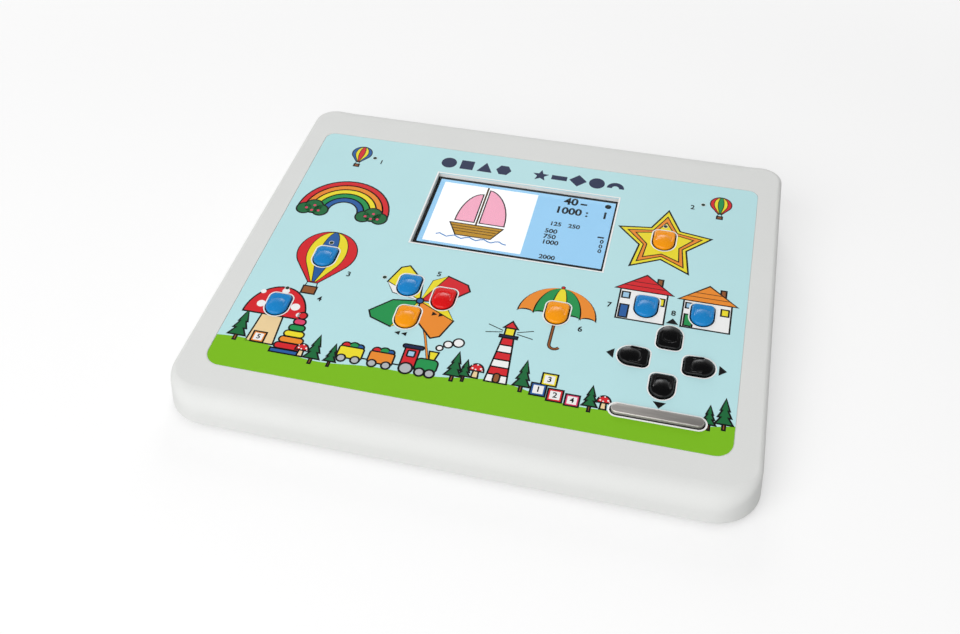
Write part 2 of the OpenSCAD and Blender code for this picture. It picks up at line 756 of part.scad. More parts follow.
// A phone socket on the main board, x from the middle: body, nose and blind bore
module phone_socket(x) {
    axis_z = main_top + jack_z;
    body_end = socket_end - 6.4;
    body_l = jack_bore_l + 1.6 - 6.4;
    translate([x, 0, 0]) difference() {
        union() {
            translate([-jack_w / 2, body_end - body_l, main_top])
                cube([jack_w, body_l, jack_z + jack_nose_r + 0.4]);
            translate([0, body_end - 1, axis_z]) rotate([-90, 0, 0]) cylinder(r = jack_nose_r, h = 7.4);
        }
        translate([0, socket_end - jack_bore_l, axis_z]) rotate([-90, 0, 0])
            cylinder(r = jack_bore_r, h = jack_bore_l + 1);
    }
}

module left_phone_socket() color("royalblue") phone_socket(-jack_x + jack_pitch);

module right_phone_socket() color("firebrick") phone_socket(-jack_x);

module response_socket() color("dimgray") phone_socket(-jack_x - jack_pitch);

module data_socket() color("silver") {
    depth = 17;
    y = socket_end - depth;
    translate([usb_x, y, main_top]) {
        difference() {
            translate([-usb_w / 2, 0, 0]) cube([usb_w, depth, usb_h]);
            translate([-usb_w / 2 + 1.5, 4, 1.4]) cube([usb_w - 3, depth, usb_h - 2.8]);
        }
        translate([-2.8, 3, usb_h / 2 - 1.6]) cube([5.6, depth - 4.2, 3.2]);
    }
}

module power_socket() color("dimgray") {
    axis_z = main_top + jack_z;
    body_end = socket_end - 6.4;
    body_l = 9;
    translate([power_x, 0, 0]) {
        difference() {
            union() {
                translate([-5, body_end - body_l, main_top]) cube([10, body_l, jack_z + power_nose_r + 0.4]);
                translate([0, body_end - 1, axis_z]) rotate([-90, 0, 0]) cylinder(r = power_nose_r, h = 7.4);
            }
            translate([0, socket_end - 12, axis_z]) rotate([-90, 0, 0]) cylinder(r = power_bore_r, h = cut);
        }
        translate([0, socket_end - 13, axis_z]) rotate([-90, 0, 0]) cylinder(r = 1, h = 11.6);
    }
}

// ======== nodes ========

top_cover();
bottom_cover();
rubber_feet();
case_screws();
threaded_inserts();
front_foil();
screen_window();
display_gasket();
display_frame();
display_glass();
display_backlight();
display_pad();
display_cable();
indicators();
for (k = KEYS) key_cap(k);
tone_bar();
for (k = KEYS) key_plunger(k);
tone_plungers();
key_switches();
key_board();
key_board_cable();
board_screws();
main_board();
board_chips();
board_capacitors();
board_relays();
cable_connectors();
left_phone_socket();
right_phone_socket();
response_socket();
data_socket();
power_socket();
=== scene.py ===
import json
from math import atan2, cos, exp, hypot, pi, radians, sin, sqrt, tan

import bmesh
import bpy
from mathutils import Matrix, Vector

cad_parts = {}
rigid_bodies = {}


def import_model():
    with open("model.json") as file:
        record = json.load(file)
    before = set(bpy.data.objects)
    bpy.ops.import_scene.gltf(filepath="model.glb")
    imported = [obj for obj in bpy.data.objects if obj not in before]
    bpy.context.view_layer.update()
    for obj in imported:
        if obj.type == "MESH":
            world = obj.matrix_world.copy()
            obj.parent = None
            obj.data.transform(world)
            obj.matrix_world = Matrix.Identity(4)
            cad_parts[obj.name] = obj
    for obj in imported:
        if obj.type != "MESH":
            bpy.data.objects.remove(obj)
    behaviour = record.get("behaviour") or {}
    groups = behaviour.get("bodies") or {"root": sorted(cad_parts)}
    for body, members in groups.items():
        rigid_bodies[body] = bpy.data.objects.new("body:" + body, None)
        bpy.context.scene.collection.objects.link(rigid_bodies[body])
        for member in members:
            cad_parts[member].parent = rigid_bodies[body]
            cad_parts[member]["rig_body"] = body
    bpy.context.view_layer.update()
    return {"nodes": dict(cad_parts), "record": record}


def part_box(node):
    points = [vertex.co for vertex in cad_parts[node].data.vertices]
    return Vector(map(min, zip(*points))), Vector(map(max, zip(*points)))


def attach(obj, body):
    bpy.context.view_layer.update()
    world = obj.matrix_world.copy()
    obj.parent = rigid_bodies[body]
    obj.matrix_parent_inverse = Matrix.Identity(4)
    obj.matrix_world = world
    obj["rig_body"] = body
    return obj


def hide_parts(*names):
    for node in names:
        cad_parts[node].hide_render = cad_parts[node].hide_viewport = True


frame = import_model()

# A desktop audiometer: off-white console, printed foil, colour display, keys and a tone bar.
# Pieces are modelled in millimetres and brought to metres when they are placed.
mm = 0.001
perMetre = 1000
nodes = frame["nodes"]
scene = bpy.context.scene
print("frame:", len(nodes), "nodes")


def linear(hexColour):
    # sRGB hex to the linear colour that the shaders take
    channels = [int(hexColour[i:i + 2], 16) / 255 for i in (0, 2, 4)]
    return [c / 12.92 if c <= 0.04045 else ((c + 0.055) / 1.055) ** 2.4 for c in channels] + [1]


def addNode(tree, kind, inputs=None, **settings):
    # adds a node, sets it up and links or fills its inputs
    node = tree.nodes.new(kind)
    for name, value in settings.items():
        setattr(node, name, value)
    for name, value in (inputs or {}).items():
        if isinstance(value, bpy.types.NodeSocket):
            tree.links.new(value, node.inputs[name])
        else:
            node.inputs[name].default_value = value
    return node


def newMaterial(name):
    material = bpy.data.materials.new(name)
    material.use_nodes = True
    material.node_tree.nodes.clear()
    return material, material.node_tree


# how the two noises of a finish turn into its tint and its gloss
surface = {
    "tintFrom": 0.7, "tintTo": 1.3, "glossFrom": 0.3, "glossTo": 0.7, "smoother": 0.9,
    "rougher": 1.12, "litBack": 0.08,
}


def makeFinish(name, colour, roughness=0.5, grain=0.8, depth=0.01, blotch=25, tint=0.04, ior=1.5,
               metallic=0.0, specular=0.5, stretch=(1, 1, 1), attribute=None, glow=0.0, ramps=()):
    # a surface with its grain (mm), the grain's depth (mm) and faint blotches (mm) of a deeper
    # tint; a ramp is a direction, its start and end (m) along it, and the colour's share at both,
    # and paints light and shade into the colour
    material, tree = newMaterial(name)
    spot = addNode(tree, "ShaderNodeTexCoord").outputs["Object"]
    place = spot
    if stretch != (1, 1, 1):
        place = addNode(tree, "ShaderNodeMapping",
                        {"Vector": spot, "Scale": stretch}).outputs["Vector"]
    fine = addNode(tree, "ShaderNodeTexNoise", {
        "Vector": place, "Scale": perMetre / grain, "Detail": 3.0, "Roughness": 0.6})
    broad = addNode(tree, "ShaderNodeTexNoise", {
        "Vector": place, "Scale": perMetre / blotch, "Detail": 2.0})
    if attribute:
        base = addNode(tree, "ShaderNodeAttribute", attribute_name=attribute).outputs["Color"]
    else:
        base = addNode(tree, "ShaderNodeRGB").outputs[0]
        base.default_value = linear(colour)
    both = addNode(tree, "ShaderNodeMath", {0: fine.outputs["Fac"], 1: broad.outputs["Fac"]},
                   operation="ADD")
    shade = addNode(tree, "ShaderNodeMapRange", {
        "Value": both.outputs[0], "From Min": surface["tintFrom"], "From Max": surface["tintTo"],
        "To Min": 1 - tint, "To Max": 1 + tint})
    tone = addNode(tree, "ShaderNodeVectorMath", {0: base, "Scale": shade.outputs[0]},
                   operation="SCALE")
    for way, start, end, first, last in ramps:
        along = addNode(tree, "ShaderNodeVectorMath", {0: spot, 1: way}, operation="DOT_PRODUCT")
        share = addNode(tree, "ShaderNodeMapRange", {
            "Value": along.outputs["Value"], "From Min": start, "From Max": end,
            "To Min": first, "To Max": last}, interpolation_type="SMOOTHSTEP")
        tone = addNode(tree, "ShaderNodeVectorMath",
                       {0: tone.outputs[0], "Scale": share.outputs[0]}, operation="SCALE")
    gloss = addNode(tree, "ShaderNodeMapRange", {
        "Value": fine.outputs["Fac"], "From Min": surface["glossFrom"],
        "From Max": surface["glossTo"], "To Min": roughness * surface["smoother"],
        "To Max": min(roughness * surface["rougher"], 1)})
    bump = addNode(tree, "ShaderNodeBump", {
        "Height": fine.outputs["Fac"], "Strength": 1.0, "Distance": depth * mm})
    shader = addNode(tree, "ShaderNodeBsdfPrincipled", {
        "Base Color": tone.outputs[0], "Roughness": gloss.outputs[0], "Normal": bump.outputs[0],
        "Metallic": metallic})
    if not metallic:
        shader.inputs["IOR"].default_value = ior
        shader.inputs["Specular IOR Level"].default_value = specular
    if glow:
        # a lit surface gives its own light and sends back little of the room's
        dull = addNode(tree, "ShaderNodeVectorMath",
                       {0: tone.outputs[0], "Scale": surface["litBack"]}, operation="SCALE")
        tree.links.new(dull.outputs[0], shader.inputs["Base Color"])
        tree.links.new(tone.outputs[0], shader.inputs["Emission Color"])
        shader.inputs["Emission Strength"].default_value = glow
    addNode(tree, "ShaderNodeOutputMaterial", {"Surface": shader.outputs[0]})
    return material


finishes = {
    # ABS moulded against a spark-eroded tool: a dull off-white with a fine even grain; the real
    # grain of 0.2 mm is drawn 0.9 mm wide so that it shows
    "case_white": makeFinish("spark-eroded ABS", "E4E5E3", 0.62, grain=0.9, depth=0.006,
                             tint=0.012),
    # soft moulded rubber: dark, dull and slightly dusty
    "foot_rubber": makeFinish("moulded rubber", "2B2B2D", 0.85, grain=0.6, depth=0.03, tint=0.12),
    # zinc plated steel: a cool grey with fine turning marks
    "screw_steel": makeFinish("zinc-plated steel", "B9BEC4", 0.32, grain=0.4, metallic=1.0),
    # turned brass: a warm yellow metal
    "insert_brass": makeFinish("turned brass", "C9A24B", 0.3, grain=0.3, metallic=1.0),
    # polyester foil printed on its back: clean inks under a fine velvet face
    "foil_print": makeFinish("printed polyester foil", "BFE0E4", 0.4, grain=0.7, depth=0.003,
                             tint=0.012, ior=1.57, specular=0.25, attribute="ink"),
    # black ink screen-printed on the back of the window: flat and even
    "border_ink": makeFinish("screen-printed ink", "121315", 0.4, grain=0.5, depth=0.002,
                             tint=0.1),
    # closed-cell foam: black and matt, with its cells just showing
    "foam": makeFinish("closed-cell foam", "242527", 0.95, grain=0.5, depth=0.08, tint=0.15),
    # tin-plated sheet steel, stamped and folded: bright, with faint rolling marks
    "frame_steel": makeFinish("tin-plated steel", "B4B6B8", 0.28, grain=1.5, depth=0.004,
                              metallic=1.0, stretch=(1, 6, 1)),
    # float glass of the display: dark and clean where it isn't lit
    "display_face": makeFinish("display glass", "30363D", 0.08, grain=2, depth=0.001),
    # lit liquid crystal: the picture's own even light
    "display_light": makeFinish("lit liquid crystal", "FFFFFF", 0.3, grain=0.3, depth=0.001,
                                tint=0.01, attribute="ink", glow=1.13),
    # cast opal acrylic of the light guide: milky, with a soft gloss
    "backlight_white": makeFinish("opal acrylic", "EDEEEA", 0.35, grain=1, depth=0.002, ior=1.49),
    # polyimide film of the display's cable: a clear amber with lengthwise tracks
    "cable_amber": makeFinish("polyimide film", "C07A26", 0.3, grain=1, depth=0.004,
                              stretch=(8, 1, 1)),
    # smoked epoxy lens of an indicator that is off: nearly black and glossy
    "indicator_dark": makeFinish("smoked epoxy", "3A4A3E", 0.12, grain=0.5, depth=0.002,
                                 ior=1.55),
    # glass-filled nylon of the key switches: matt, with fibres just under the face
    "switch_black": makeFinish("glass-filled nylon", "26272A", 0.55, grain=0.3, depth=0.02,
                               ior=1.53),
    # epoxy glass laminate under green solder mask: the weave shows as a faint grain
    "board_green": makeFinish("solder-masked laminate", "1E6B43", 0.35, grain=0.7, tint=0.08),
    # extruded vinyl ribbon cable: grey, ribbed along its wires
    "ribbon_grey": makeFinish("extruded vinyl", "A7A9AB", 0.5, grain=1.3, depth=0.06,
                              stretch=(1, 0.05, 0.05)),
    # moulded epoxy of the chips: near black and matt
    "chip_black": makeFinish("moulded epoxy", "1F2022", 0.6, grain=0.2),
    # drawn aluminium can: pale, with upright drawing marks
    "capacitor_can": makeFinish("drawn aluminium", "C4C7CA", 0.3, depth=0.004, metallic=1.0,
                                stretch=(6, 6, 1)),
    # moulded polyester housing of the relays: a warm off-white
    "relay_white": makeFinish("moulded polyester", "E3E0D6", 0.45, grain=0.4),
    # moulded nylon of the connector housings: ivory, slightly glossy
    "connector_ivory": makeFinish("moulded nylon", "E2DBC6", 0.45, grain=0.4, ior=1.53),
    # coloured nylon of the phone sockets: full colours with a satin face
    "socket_blue": makeFinish("blue nylon", "2A5DA8", 0.38, grain=0.4, ior=1.53),
    "socket_red": makeFinish("red nylon", "B3262B", 0.38, grain=0.4, ior=1.53),
    "socket_black": makeFinish("black nylon", "222326", 0.4, grain=0.4, ior=1.53),
    # nickel-plated steel shell of the data socket: a warm bright metal
    "socket_steel": makeFinish("nickel-plated steel", "C6C4BE", 0.22, depth=0.003, metallic=1.0),
}


def makeClearAcrylic():
    # cast acrylic of the display's window: clear, with faint wipe marks in its gloss
    material, tree = newMaterial("cast acrylic")
    place = addNode(tree, "ShaderNodeTexCoord").outputs["Object"]
    smear = addNode(tree, "ShaderNodeTexNoise", {"Vector": place, "Scale": 60.0, "Detail": 3.0})
    gloss = addNode(tree, "ShaderNodeMapRange", {
        "Value": smear.outputs["Fac"], "To Min": 0.0, "To Max": 0.05})
    shader = addNode(tree, "ShaderNodeBsdfPrincipled", {
        "Base Color": linear("FCFDFD"), "Roughness": gloss.outputs[0], "IOR": 1.49,
        "Transmission Weight": 1.0})
    addNode(tree, "ShaderNodeOutputMaterial", {"Surface": shader.outputs[0]})
    return material


finishes["window_clear"] = makeClearAcrylic()
print("materials:", len(finishes))


casing = {
    "width": 274, "depth": 234, "frontHeight": 17.5, "tilt": 5, "draft": 5.4, "cornerRadius": 22,
    "sideRound": 3, "frontRound": 11, "backRound": 16, "leastRound": 0.6, "wall": 2.6,
    "lipHeight": 3, "trim": 0.05, "cornerSteps": 16, "arcStart": 0.01, "arcSpan": 89.98,
    "rollSteps": 14, "bossInset": 20, "bossRadius": 4.5, "bossFoot": 9.2, "bossUnder": 1.3,
    "insertRadius": 2.35, "cutOut": 20, "cutIn": 6,
}
foil = {
    "width": 244, "depth": 178, "front": 23, "frontRadius": 8, "backRadius": 5, "thickness": 0.4,
    "recess": 0.5, "gap": 0.25, "lift": 0.004, "layer": 0.018, "ink": 0.011, "boldness": 0.02,
    "cut": 5,
}
keys = {
    "width": 11.6, "length": 14.6, "corner": 2.8, "rim": 1.0, "crown": 2.4, "edge": 0.75,
    "coverGap": 0.3, "foilGap": 0.25, "halo": 0.6, "shrink": 0.42, "flangeOut": 0.8,
    "flangeLow": -3.65, "flangeHigh": -2.65, "stemRadius": 2, "stemLow": -4.45, "stemSides": 32,
    "shelfSlope": 0.09, "groove": 0.24, "grooveReach": 0.15, "frontSteps": 28, "cornerSteps": 8,
    "rollSteps": 6, "crownRings": 36,
}
bar = {
    "length": 42, "width": 6.2, "crown": 1.8, "shrink": 0.45, "stem": 14, "halo": 0.85,
    "endSteps": 16,
    # how far in, and how far under the crown, the bevel runs
    "bevel": ((0, 0.5), (0.04, 0.4), (0.12, 0.31), (0.32, 0.15), (0.42, 0.1), (0.7, 0.06),
              (1.3, 0.02), (2, 0)),
}
lens = {"radius": 1.1, "sides": 24, "halo": 0.2, "apart": 5}
display = {"openingWidth": 100, "openingDepth": 57, "y": 128.2, "halo": 1.7}

tilt = radians(casing["tilt"])
draft = radians(casing["draft"])
foilY0 = foil["front"] - casing["depth"] / 2              # the foil's front edge
keyRoundY = -(keys["length"] - keys["width"]) / 2         # middle of a key's round end


def topHeight(y):
    # height of the sloping top over the table
    return casing["frontHeight"] + (y + casing["depth"] / 2) * tan(tilt)


panel = Matrix.Translation((0, foilY0, topHeight(foilY0))) @ Matrix.Rotation(tilt, 4, "X")
panelUp = (panel.to_3x3() @ Vector((0, 0, 1))).normalized()
upright = Matrix.Identity(4)


def onPanel(node):
    # a CAD node's middle, in the panel's own millimetres
    low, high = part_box(node)
    return panel.inverted() @ ((low + high) / 2 / mm)


def newObject(name, bm, place=None):
    # an object from a bmesh, which it uses up
    if place:
        bmesh.ops.transform(bm, matrix=place, verts=bm.verts)
    mesh = bpy.data.meshes.new(name)
    bm.to_mesh(mesh)
    bm.free()
    item = bpy.data.objects.new(name, mesh)
    scene.collection.objects.link(item)
    return item


def takeMesh(item):
    # a bmesh of an object's mesh, and the object dropped
    bm = bmesh.new()
    bm.from_mesh(item.data)
    bpy.data.objects.remove(item)
    return bm


def makePiece(name, bm, slot, body, place=panel, replace=(), smooth=40, repair=False):
    # turns a bmesh in millimetres into a finished piece that rides on its body
    if repair:
        bmesh.ops.remove_doubles(bm, verts=bm.verts, dist=1e-5)
        bmesh.ops.recalc_face_normals(bm, faces=bm.faces)
    piece = newObject(name, bm, Matrix.Scale(mm, 4) @ place)
    piece.data.materials.append(finishes[slot])
    if smooth:
        piece.data.shade_smooth()
        piece.data.set_sharp_from_angle(angle=radians(smooth))
        even = piece.modifiers.new("even shading", "WEIGHTED_NORMAL")
        even.keep_sharp = True
        even.weight = 80
    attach(piece, body)
    if replace:
        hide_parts(*replace)
    return piece


def vertsOf(geom):
    return [part for part in geom if isinstance(part, bmesh.types.BMVert)]


def addPrism(bm, points, low, high, ink=0):
    # a closed prism over the outline `points`
    face = bm.faces.new([bm.verts.new((x, y, low)) for x, y in points])
    face.normal_update()
    if face.normal.z < 0:
        face.normal_flip()
    face.material_index = ink
    lifted = vertsOf(bmesh.ops.extrude_face_region(bm, geom=[face])["geom"])
    bmesh.ops.translate(bm, vec=(0, 0, high - low), verts=lifted)
    for side in {f for v in lifted for f in v.link_faces}:
        side.material_index = ink


def addTube(bm, radius, hole, low, high, centre, sides=48):
    # an upright tube
    wall = ((radius, low), (radius, high), (hole, high), (hole, low), (radius, low))
    loft(bm, [[(x, y, z) for x, y in circle(*centre, r, sides)] for r, z in wall], closed=False)
    bmesh.ops.remove_doubles(bm, verts=bm.verts, dist=1e-5)


def loft(bm, rings, closed=True):
    # a skin through rings of equally many points, each ring extruded from the one before
    verts = [bm.verts.new(point) for point in rings[0]]
    edges = [bm.edges.new((verts[i - 1], verts[i])) for i in range(len(verts))]
    if closed:
        bm.faces.new(reversed(verts))
    for ring in rings[1:]:
        grown = bmesh.ops.extrude_edge_only(bm, edges=edges)["geom"]
        fresh = set(vertsOf(grown))
        edges = [e for e in grown
                 if isinstance(e, bmesh.types.BMEdge) and fresh.issuperset(e.verts)]
        verts = [next(e.other_vert(v) for e in v.link_edges if e.other_vert(v) in fresh)
                 for v in verts]
        for vert, point in zip(verts, ring):
            vert.co = point
    if closed:
        bm.faces.new(verts)
    bmesh.ops.recalc_face_normals(bm, faces=bm.faces)


def turns(count):
    return [2 * pi * i / count for i in range(count)]


def circle(x, y, radius, sides=48):
    return [(x + radius * cos(a), y + radius * sin(a)) for a in turns(sides)]


def arc(x, y, radius, start, end, steps=16):
    span = [radians(start + (end - start) * i / steps) for i in range(steps + 1)]
    return [(x + radius * cos(a), y + radius * sin(a)) for a in span]


def roundRect(x0, x1, y0, y1, r0, r1=None, steps=8):
    # a rounded rectangle, r0 at its front corners and r1 at its back ones
    r1 = r0 if r1 is None else r1
    return (arc(x0 + r0, y0 + r0, r0, 180, 270, steps) + arc(x1 - r0, y0 + r0, r0, 270, 360, steps)
            + arc(x1 - r1, y1 - r1, r1, 0, 90, steps) + arc(x0 + r1, y1 - r1, r1, 90, 180, steps))


def box(x0, x1, y0, y1):
    return [(x0, y0), (x1, y0), (x1, y1), (x0, y1)]


def keyOutline(grow=0):
    # round at the front, flat with two soft corners at the back
    w = keys["width"] / 2 + grow
    backY = keys["length"] / 2 + grow
    r = keys["corner"] + grow
    sideY = keyRoundY + (backY - r - keyRoundY) / 2
    return (arc(0, keyRoundY, w, 180, 360, keys["frontSteps"]) + [(w, sideY)]
            + arc(w - r, backY - r, r, 0, 90, keys["cornerSteps"])
            + [((w - r) * (1 - i / 2), backY) for i in (1, 2, 3)]
            + arc(r - w, backY - r, r, 90, 180, keys["cornerSteps"]) + [(-w, sideY)])


def barOutline(grow=0):
    w = bar["width"] / 2 + grow
    x = (bar["length"] - bar["width"]) / 2
    return arc(x, 0, w, -90, 90, bar["endSteps"]) + arc(-x, 0, w, 90, 270, bar["endSteps"])


def moved(points, x, y, turn=0):
    c, s = cos(radians(turn)), sin(radians(turn))
    return [(x + px * c - py * s, y + px * s + py * c) for px, py in points]


mitreLimit = 0.35


def offset(points, distance):
    # the outline drawn out by `distance`, with mitred corners
    n = len(points)
    area = sum(points[i][0] * points[(i + 1) % n][1] - points[(i + 1) % n][0] * points[i][1]
               for i in range(n))
    side = 1 if area > 0 else -1
    grown = []
    for i in range(n):
        before = Vector(points[i]) - Vector(points[i - 1])
        after = Vector(points[(i + 1) % n]) - Vector(points[i])
        one = Vector((before.y, -before.x)).normalized()
        two = Vector((after.y, -after.x)).normalized()
        reach = side * distance / max(1 + one.dot(two), mitreLimit)
        grown.append((points[i][0] + (one + two).x * reach,
                      points[i][1] + (one + two).y * reach))
    return grown


# each key: its turn (0 has the round end at the front) and its colour's slot
keyKinds = {
    "group": (0, "key_blue"), "start": (0, "key_blue"), "pause": (0, "key_blue"),
    "forward": (0, "key_red"), "back": (0, "key_orange"), "side": (0, "key_orange"),
    "mode": (0, "key_orange"), "menu": (0, "key_blue"), "enter": (0, "key_blue"),
    "up": (180, "key_black"), "down": (0, "key_black"), "left": (-90, "key_black"),
    "right": (90, "key_black"),
}
keyPlaces = {name: onPanel(name + "_plunger") for name in keyKinds}
barPlace = onPanel("tone_plungers")


def lightPlaces():
    # the six indicators, each group of vertices of that CAD node nearest one another
    inverse = panel.inverted()
    found = []
    for vertex in nodes["indicators"].data.vertices:
        point = inverse @ (vertex.co / mm)
        group = next((g for g in found
                      if hypot(g[0][0] - point.x, g[0][1] - point.y) < lens["apart"]), None)
        if group is None:
            found.append([(point.x, point.y)])
        else:
            group.append((point.x, point.y))
    return [((min(p[0] for p in g) + max(p[0] for p in g)) / 2,
             (min(p[1] for p in g) + max(p[1] for p in g)) / 2) for g in found]


lights = lightPlaces()


def finalMesh(item):
    # an object's mesh as its modifiers leave it
    bpy.context.view_layer.update()
    graph = bpy.context.evaluated_depsgraph_get()
    return bpy.data.meshes.new_from_object(item.evaluated_get(graph))


def cutPiece(piece, cutter, operation="DIFFERENCE", keep=False):
    # cuts a piece by another mesh and drops the cutter, unless it is to be kept
    change = piece.modifiers.new("cut", "BOOLEAN")
    change.object = cutter
    change.operation = operation
    change.solver = "EXACT"
    result = finalMesh(piece)
    piece.modifiers.remove(change)
    old = piece.data
    piece.data = result
    bpy.data.meshes.remove(old)
    if not keep:
        bpy.data.objects.remove(cutter)


def holeCutter(grow, low, high):
    # every key's hole, the tone bar's, the display's opening and the indicators' holes
    bm = bmesh.new()
    for name, (turn, slot) in keyKinds.items():
        spot = keyPlaces[name]
        addPrism(bm, moved(keyOutline(grow), spot.x, spot.y, turn), low, high)
    addPrism(bm, moved(barOutline(grow), barPlace.x, barPlace.y), low, high)
    w, d = display["openingWidth"] / 2, display["openingDepth"] / 2
    addPrism(bm, box(-w, w, display["y"] - d, display["y"] + d), low, high)
    for x, y in lights:
        addPrism(bm, circle(x, y, lens["radius"], lens["sides"]), low, high)
    return bm


def casingLine(angle, inset, foot):
    # one upright line of the shell: the foot of the wall, then the arc that rolls into the top
    nx, ny = cos(angle), sin(angle)
    reach = casing["cornerRadius"] - inset + (casing["lipHeight"] - foot) * tan(draft)
    px = (1 if nx > 0 else -1) * (casing["width"] / 2 - casing["cornerRadius"]) + nx * reach
    py = (1 if ny > 0 else -1) * (casing["depth"] / 2 - casing["cornerRadius"]) + ny * reach
    endRound = casing["frontRound"] if ny < 0 else casing["backRound"]
    r = max(casing["sideRound"] + (endRound - casing["sideRound"]) * ny * ny - inset,
            casing["leastRound"])
    k = ny * tan(tilt)
    h = topHeight(py) + (casing["trim"] - inset) / cos(tilt) - foot - r * hypot(1, k)
    det = cos(draft) + k * sin(draft)
    u = (r + sin(draft) * h) / det
    z = (cos(draft) * h - k * r) / det
    start, end = pi - draft, atan2(1, k)
    line = [(px, py, foot)]
    for i in range(casing["rollSteps"] + 1):
        t = start + (end - start) * i / casing["rollSteps"]
        v = u + r * cos(t)
        line.append((px - nx * v, py - ny * v, foot + z + r * sin(t)))
    return line


def casingForm(inset, foot):
    # the closed form of the casing, drawn in by `inset`, its rolled edges cut level with the top
    steps = casing["cornerSteps"]
    angles = [radians(90 * quarter + casing["arcStart"] + casing["arcSpan"] * i / steps)
              for quarter in range(4) for i in range(steps + 1)]
    lines = [casingLine(a, inset, foot) for a in angles]
    bm = bmesh.new()
    loft(bm, [[line[i] for line in lines] for i in range(len(lines[0]))])
    level = panel @ Vector((0, 0, -inset))
    cut = bmesh.ops.bisect_plane(bm, geom=bm.verts[:] + bm.edges[:] + bm.faces[:], dist=1e-4,
                                 plane_co=level, plane_no=panelUp, clear_outer=True)["geom_cut"]
    bmesh.ops.contextual_create(bm, geom=[e for e in cut if isinstance(e, bmesh.types.BMEdge)])
    bmesh.ops.recalc_face_normals(bm, faces=bm.faces)
    return bm


def makeCasing():
    cover = newObject("top_cover_shell", casingForm(0, casing["lipHeight"]))
    cutPiece(cover, newObject("inside", casingForm(casing["wall"], casing["lipHeight"] - 1)))
    # bosses for the case screws, as tubes under the ceiling
    tubes = bmesh.new()
    for sx in (-1, 1):
        for sy in (-1, 1):
            x = sx * (casing["width"] / 2 - casing["bossInset"])
            y = sy * (casing["depth"] / 2 - casing["bossInset"])
            addTube(tubes, casing["bossRadius"], casing["insertRadius"], casing["bossFoot"],
                    topHeight(y) - casing["bossUnder"], (x, y))
    cutPiece(cover, newObject("bosses", tubes), "UNION")
    recess = bmesh.new()
    w = foil["width"] / 2 + foil["gap"]
    addPrism(recess, roundRect(-w, w, -foil["gap"], foil["depth"] + foil["gap"],
                               foil["frontRadius"], foil["backRadius"]),
             -foil["recess"], casing["cutOut"])
    cutPiece(cover, newObject("recess", recess, panel))
    holes = holeCutter(keys["coverGap"], -casing["wall"] - 1, casing["cutOut"])
    cutPiece(cover, newObject("holes", holes, panel))
    cutPiece(cover, newObject("rear holes", rearCutter()))
    bm = takeMesh(cover)
    bmesh.ops.remove_doubles(bm, verts=bm.verts, dist=1e-4)
    makePiece("casing_top", bm, "case_white", "console", upright, ["top_cover"], smooth=32)


sockets = {
    "phones": ["left_phone_socket", "right_phone_socket", "response_socket"], "phoneNose": 5,
    "powerNose": 4.6, "axisHeight": 15.3, "gap": 0.2, "dataGap": 0.3,
}


def socketX(node):
    low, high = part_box(node)
    return (low.x + high.x) / 2 / mm


def rearCutter():
    # the holes that the sockets look out of, drawn lying down and stood up to face the back
    bm = bmesh.new()
    high = -(casing["depth"] / 2 - casing["wall"] - casing["cutIn"])
    low = high - casing["cutOut"]
    for node in sockets["phones"] + ["power_socket"]:
        nose = sockets["powerNose"] if node == "power_socket" else sockets["phoneNose"]
        addPrism(bm, circle(socketX(node), sockets["axisHeight"], nose + sockets["gap"]), low, high)
    near, far = (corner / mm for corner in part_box("data_socket"))
    grow = sockets["dataGap"]
    addPrism(bm, box(near.x - grow, far.x + grow, near.z - grow, far.z + grow), low, high)
    bmesh.ops.transform(bm, matrix=Matrix.Rotation(pi / 2, 4, "X"), verts=bm.verts)
    return bm


makeCasing()
print("casing: shell, recess, holes and bosses")


inks = {
    "sky": "C1EBEF", "grass": "80C312", "black": "090909", "white": "FAFAF9", "red": "DF1E28",
    "orange": "F5912A", "yellow": "F6E528", "green": "1E9A50", "leaf": "17703C", "blue": "2460A8",
    "navy": "18264F", "pink": "E8416F", "brown": "9A5A2B", "cream": "F6D9A4", "paleBlue": "A4D0EE",
    "rose": "F0A8C0", "grey": "B9BDBF", "screenBlue": "97CAEE", "screenWhite": "FFFFFF",
    "hullBrown": "B98A2A", "hullDark": "4A3414", "waveBlue": "3F7FC0",
}
inkNames = list(inks)
foilTop = foil["thickness"] - foil["recess"]
printed = []                  # every printed shape: outline, ink and layer


def lay(points, ink, layer=1):
    printed.append((points, ink, layer))


def inked(points, ink, layer=1, line=0.85):
    # a filled shape with a black line round it
    lay(offset(points, line / 2), "black", layer)
    lay(offset(points, -line / 2), ink, layer + 1)


def stroke(points, width, ink, layer=1):
    # a line of even width through the points
    left, right = [], []
    for i, (x, y) in enumerate(points):
        before, after = points[max(i - 1, 0)], points[min(i + 1, len(points) - 1)]
        along = Vector((after[0] - before[0], after[1] - before[1])).normalized()
        left.append((x - along.y * width / 2, y + along.x * width / 2))
        right.append((x + along.y * width / 2, y - along.x * width / 2))
    lay(left + right[::-1], ink, layer)


def rect(x, y, w, h, turn=0):
    return moved([(-w / 2, -h / 2), (w / 2, -h / 2), (w / 2, h / 2), (-w / 2, h / 2)], x, y, turn)


def star(x, y, outer, inner, count=5, turn=90):
    tips = []
    for i in range(2 * count):
        a = radians(turn + 180 * i / count)
        r = inner if i % 2 else outer
        tips.append((x + r * cos(a), y + r * sin(a)))
    return tips


def wedge(x, y, inner, outer, start, end, steps=10):
    return arc(x, y, outer, start, end, steps) + arc(x, y, inner, end, start, steps)


def numeral(text, size, x, y, ink="black", layer=5):
    # a plain number, as outlines that later become prisms
    printed.append(((text, size, x, y), ink, layer))


# the grass strip: its height and two waves, each with its rise, length and start
ground = {"height": 15.5, "waves": ((2.6, 21, 1.2), (1.3, 9.5, 0)), "steps": 60}


def groundHeight(x):
    height = ground["height"]
    for rise, length, start in ground["waves"]:
        height += rise * sin(x / length + start)
    return height


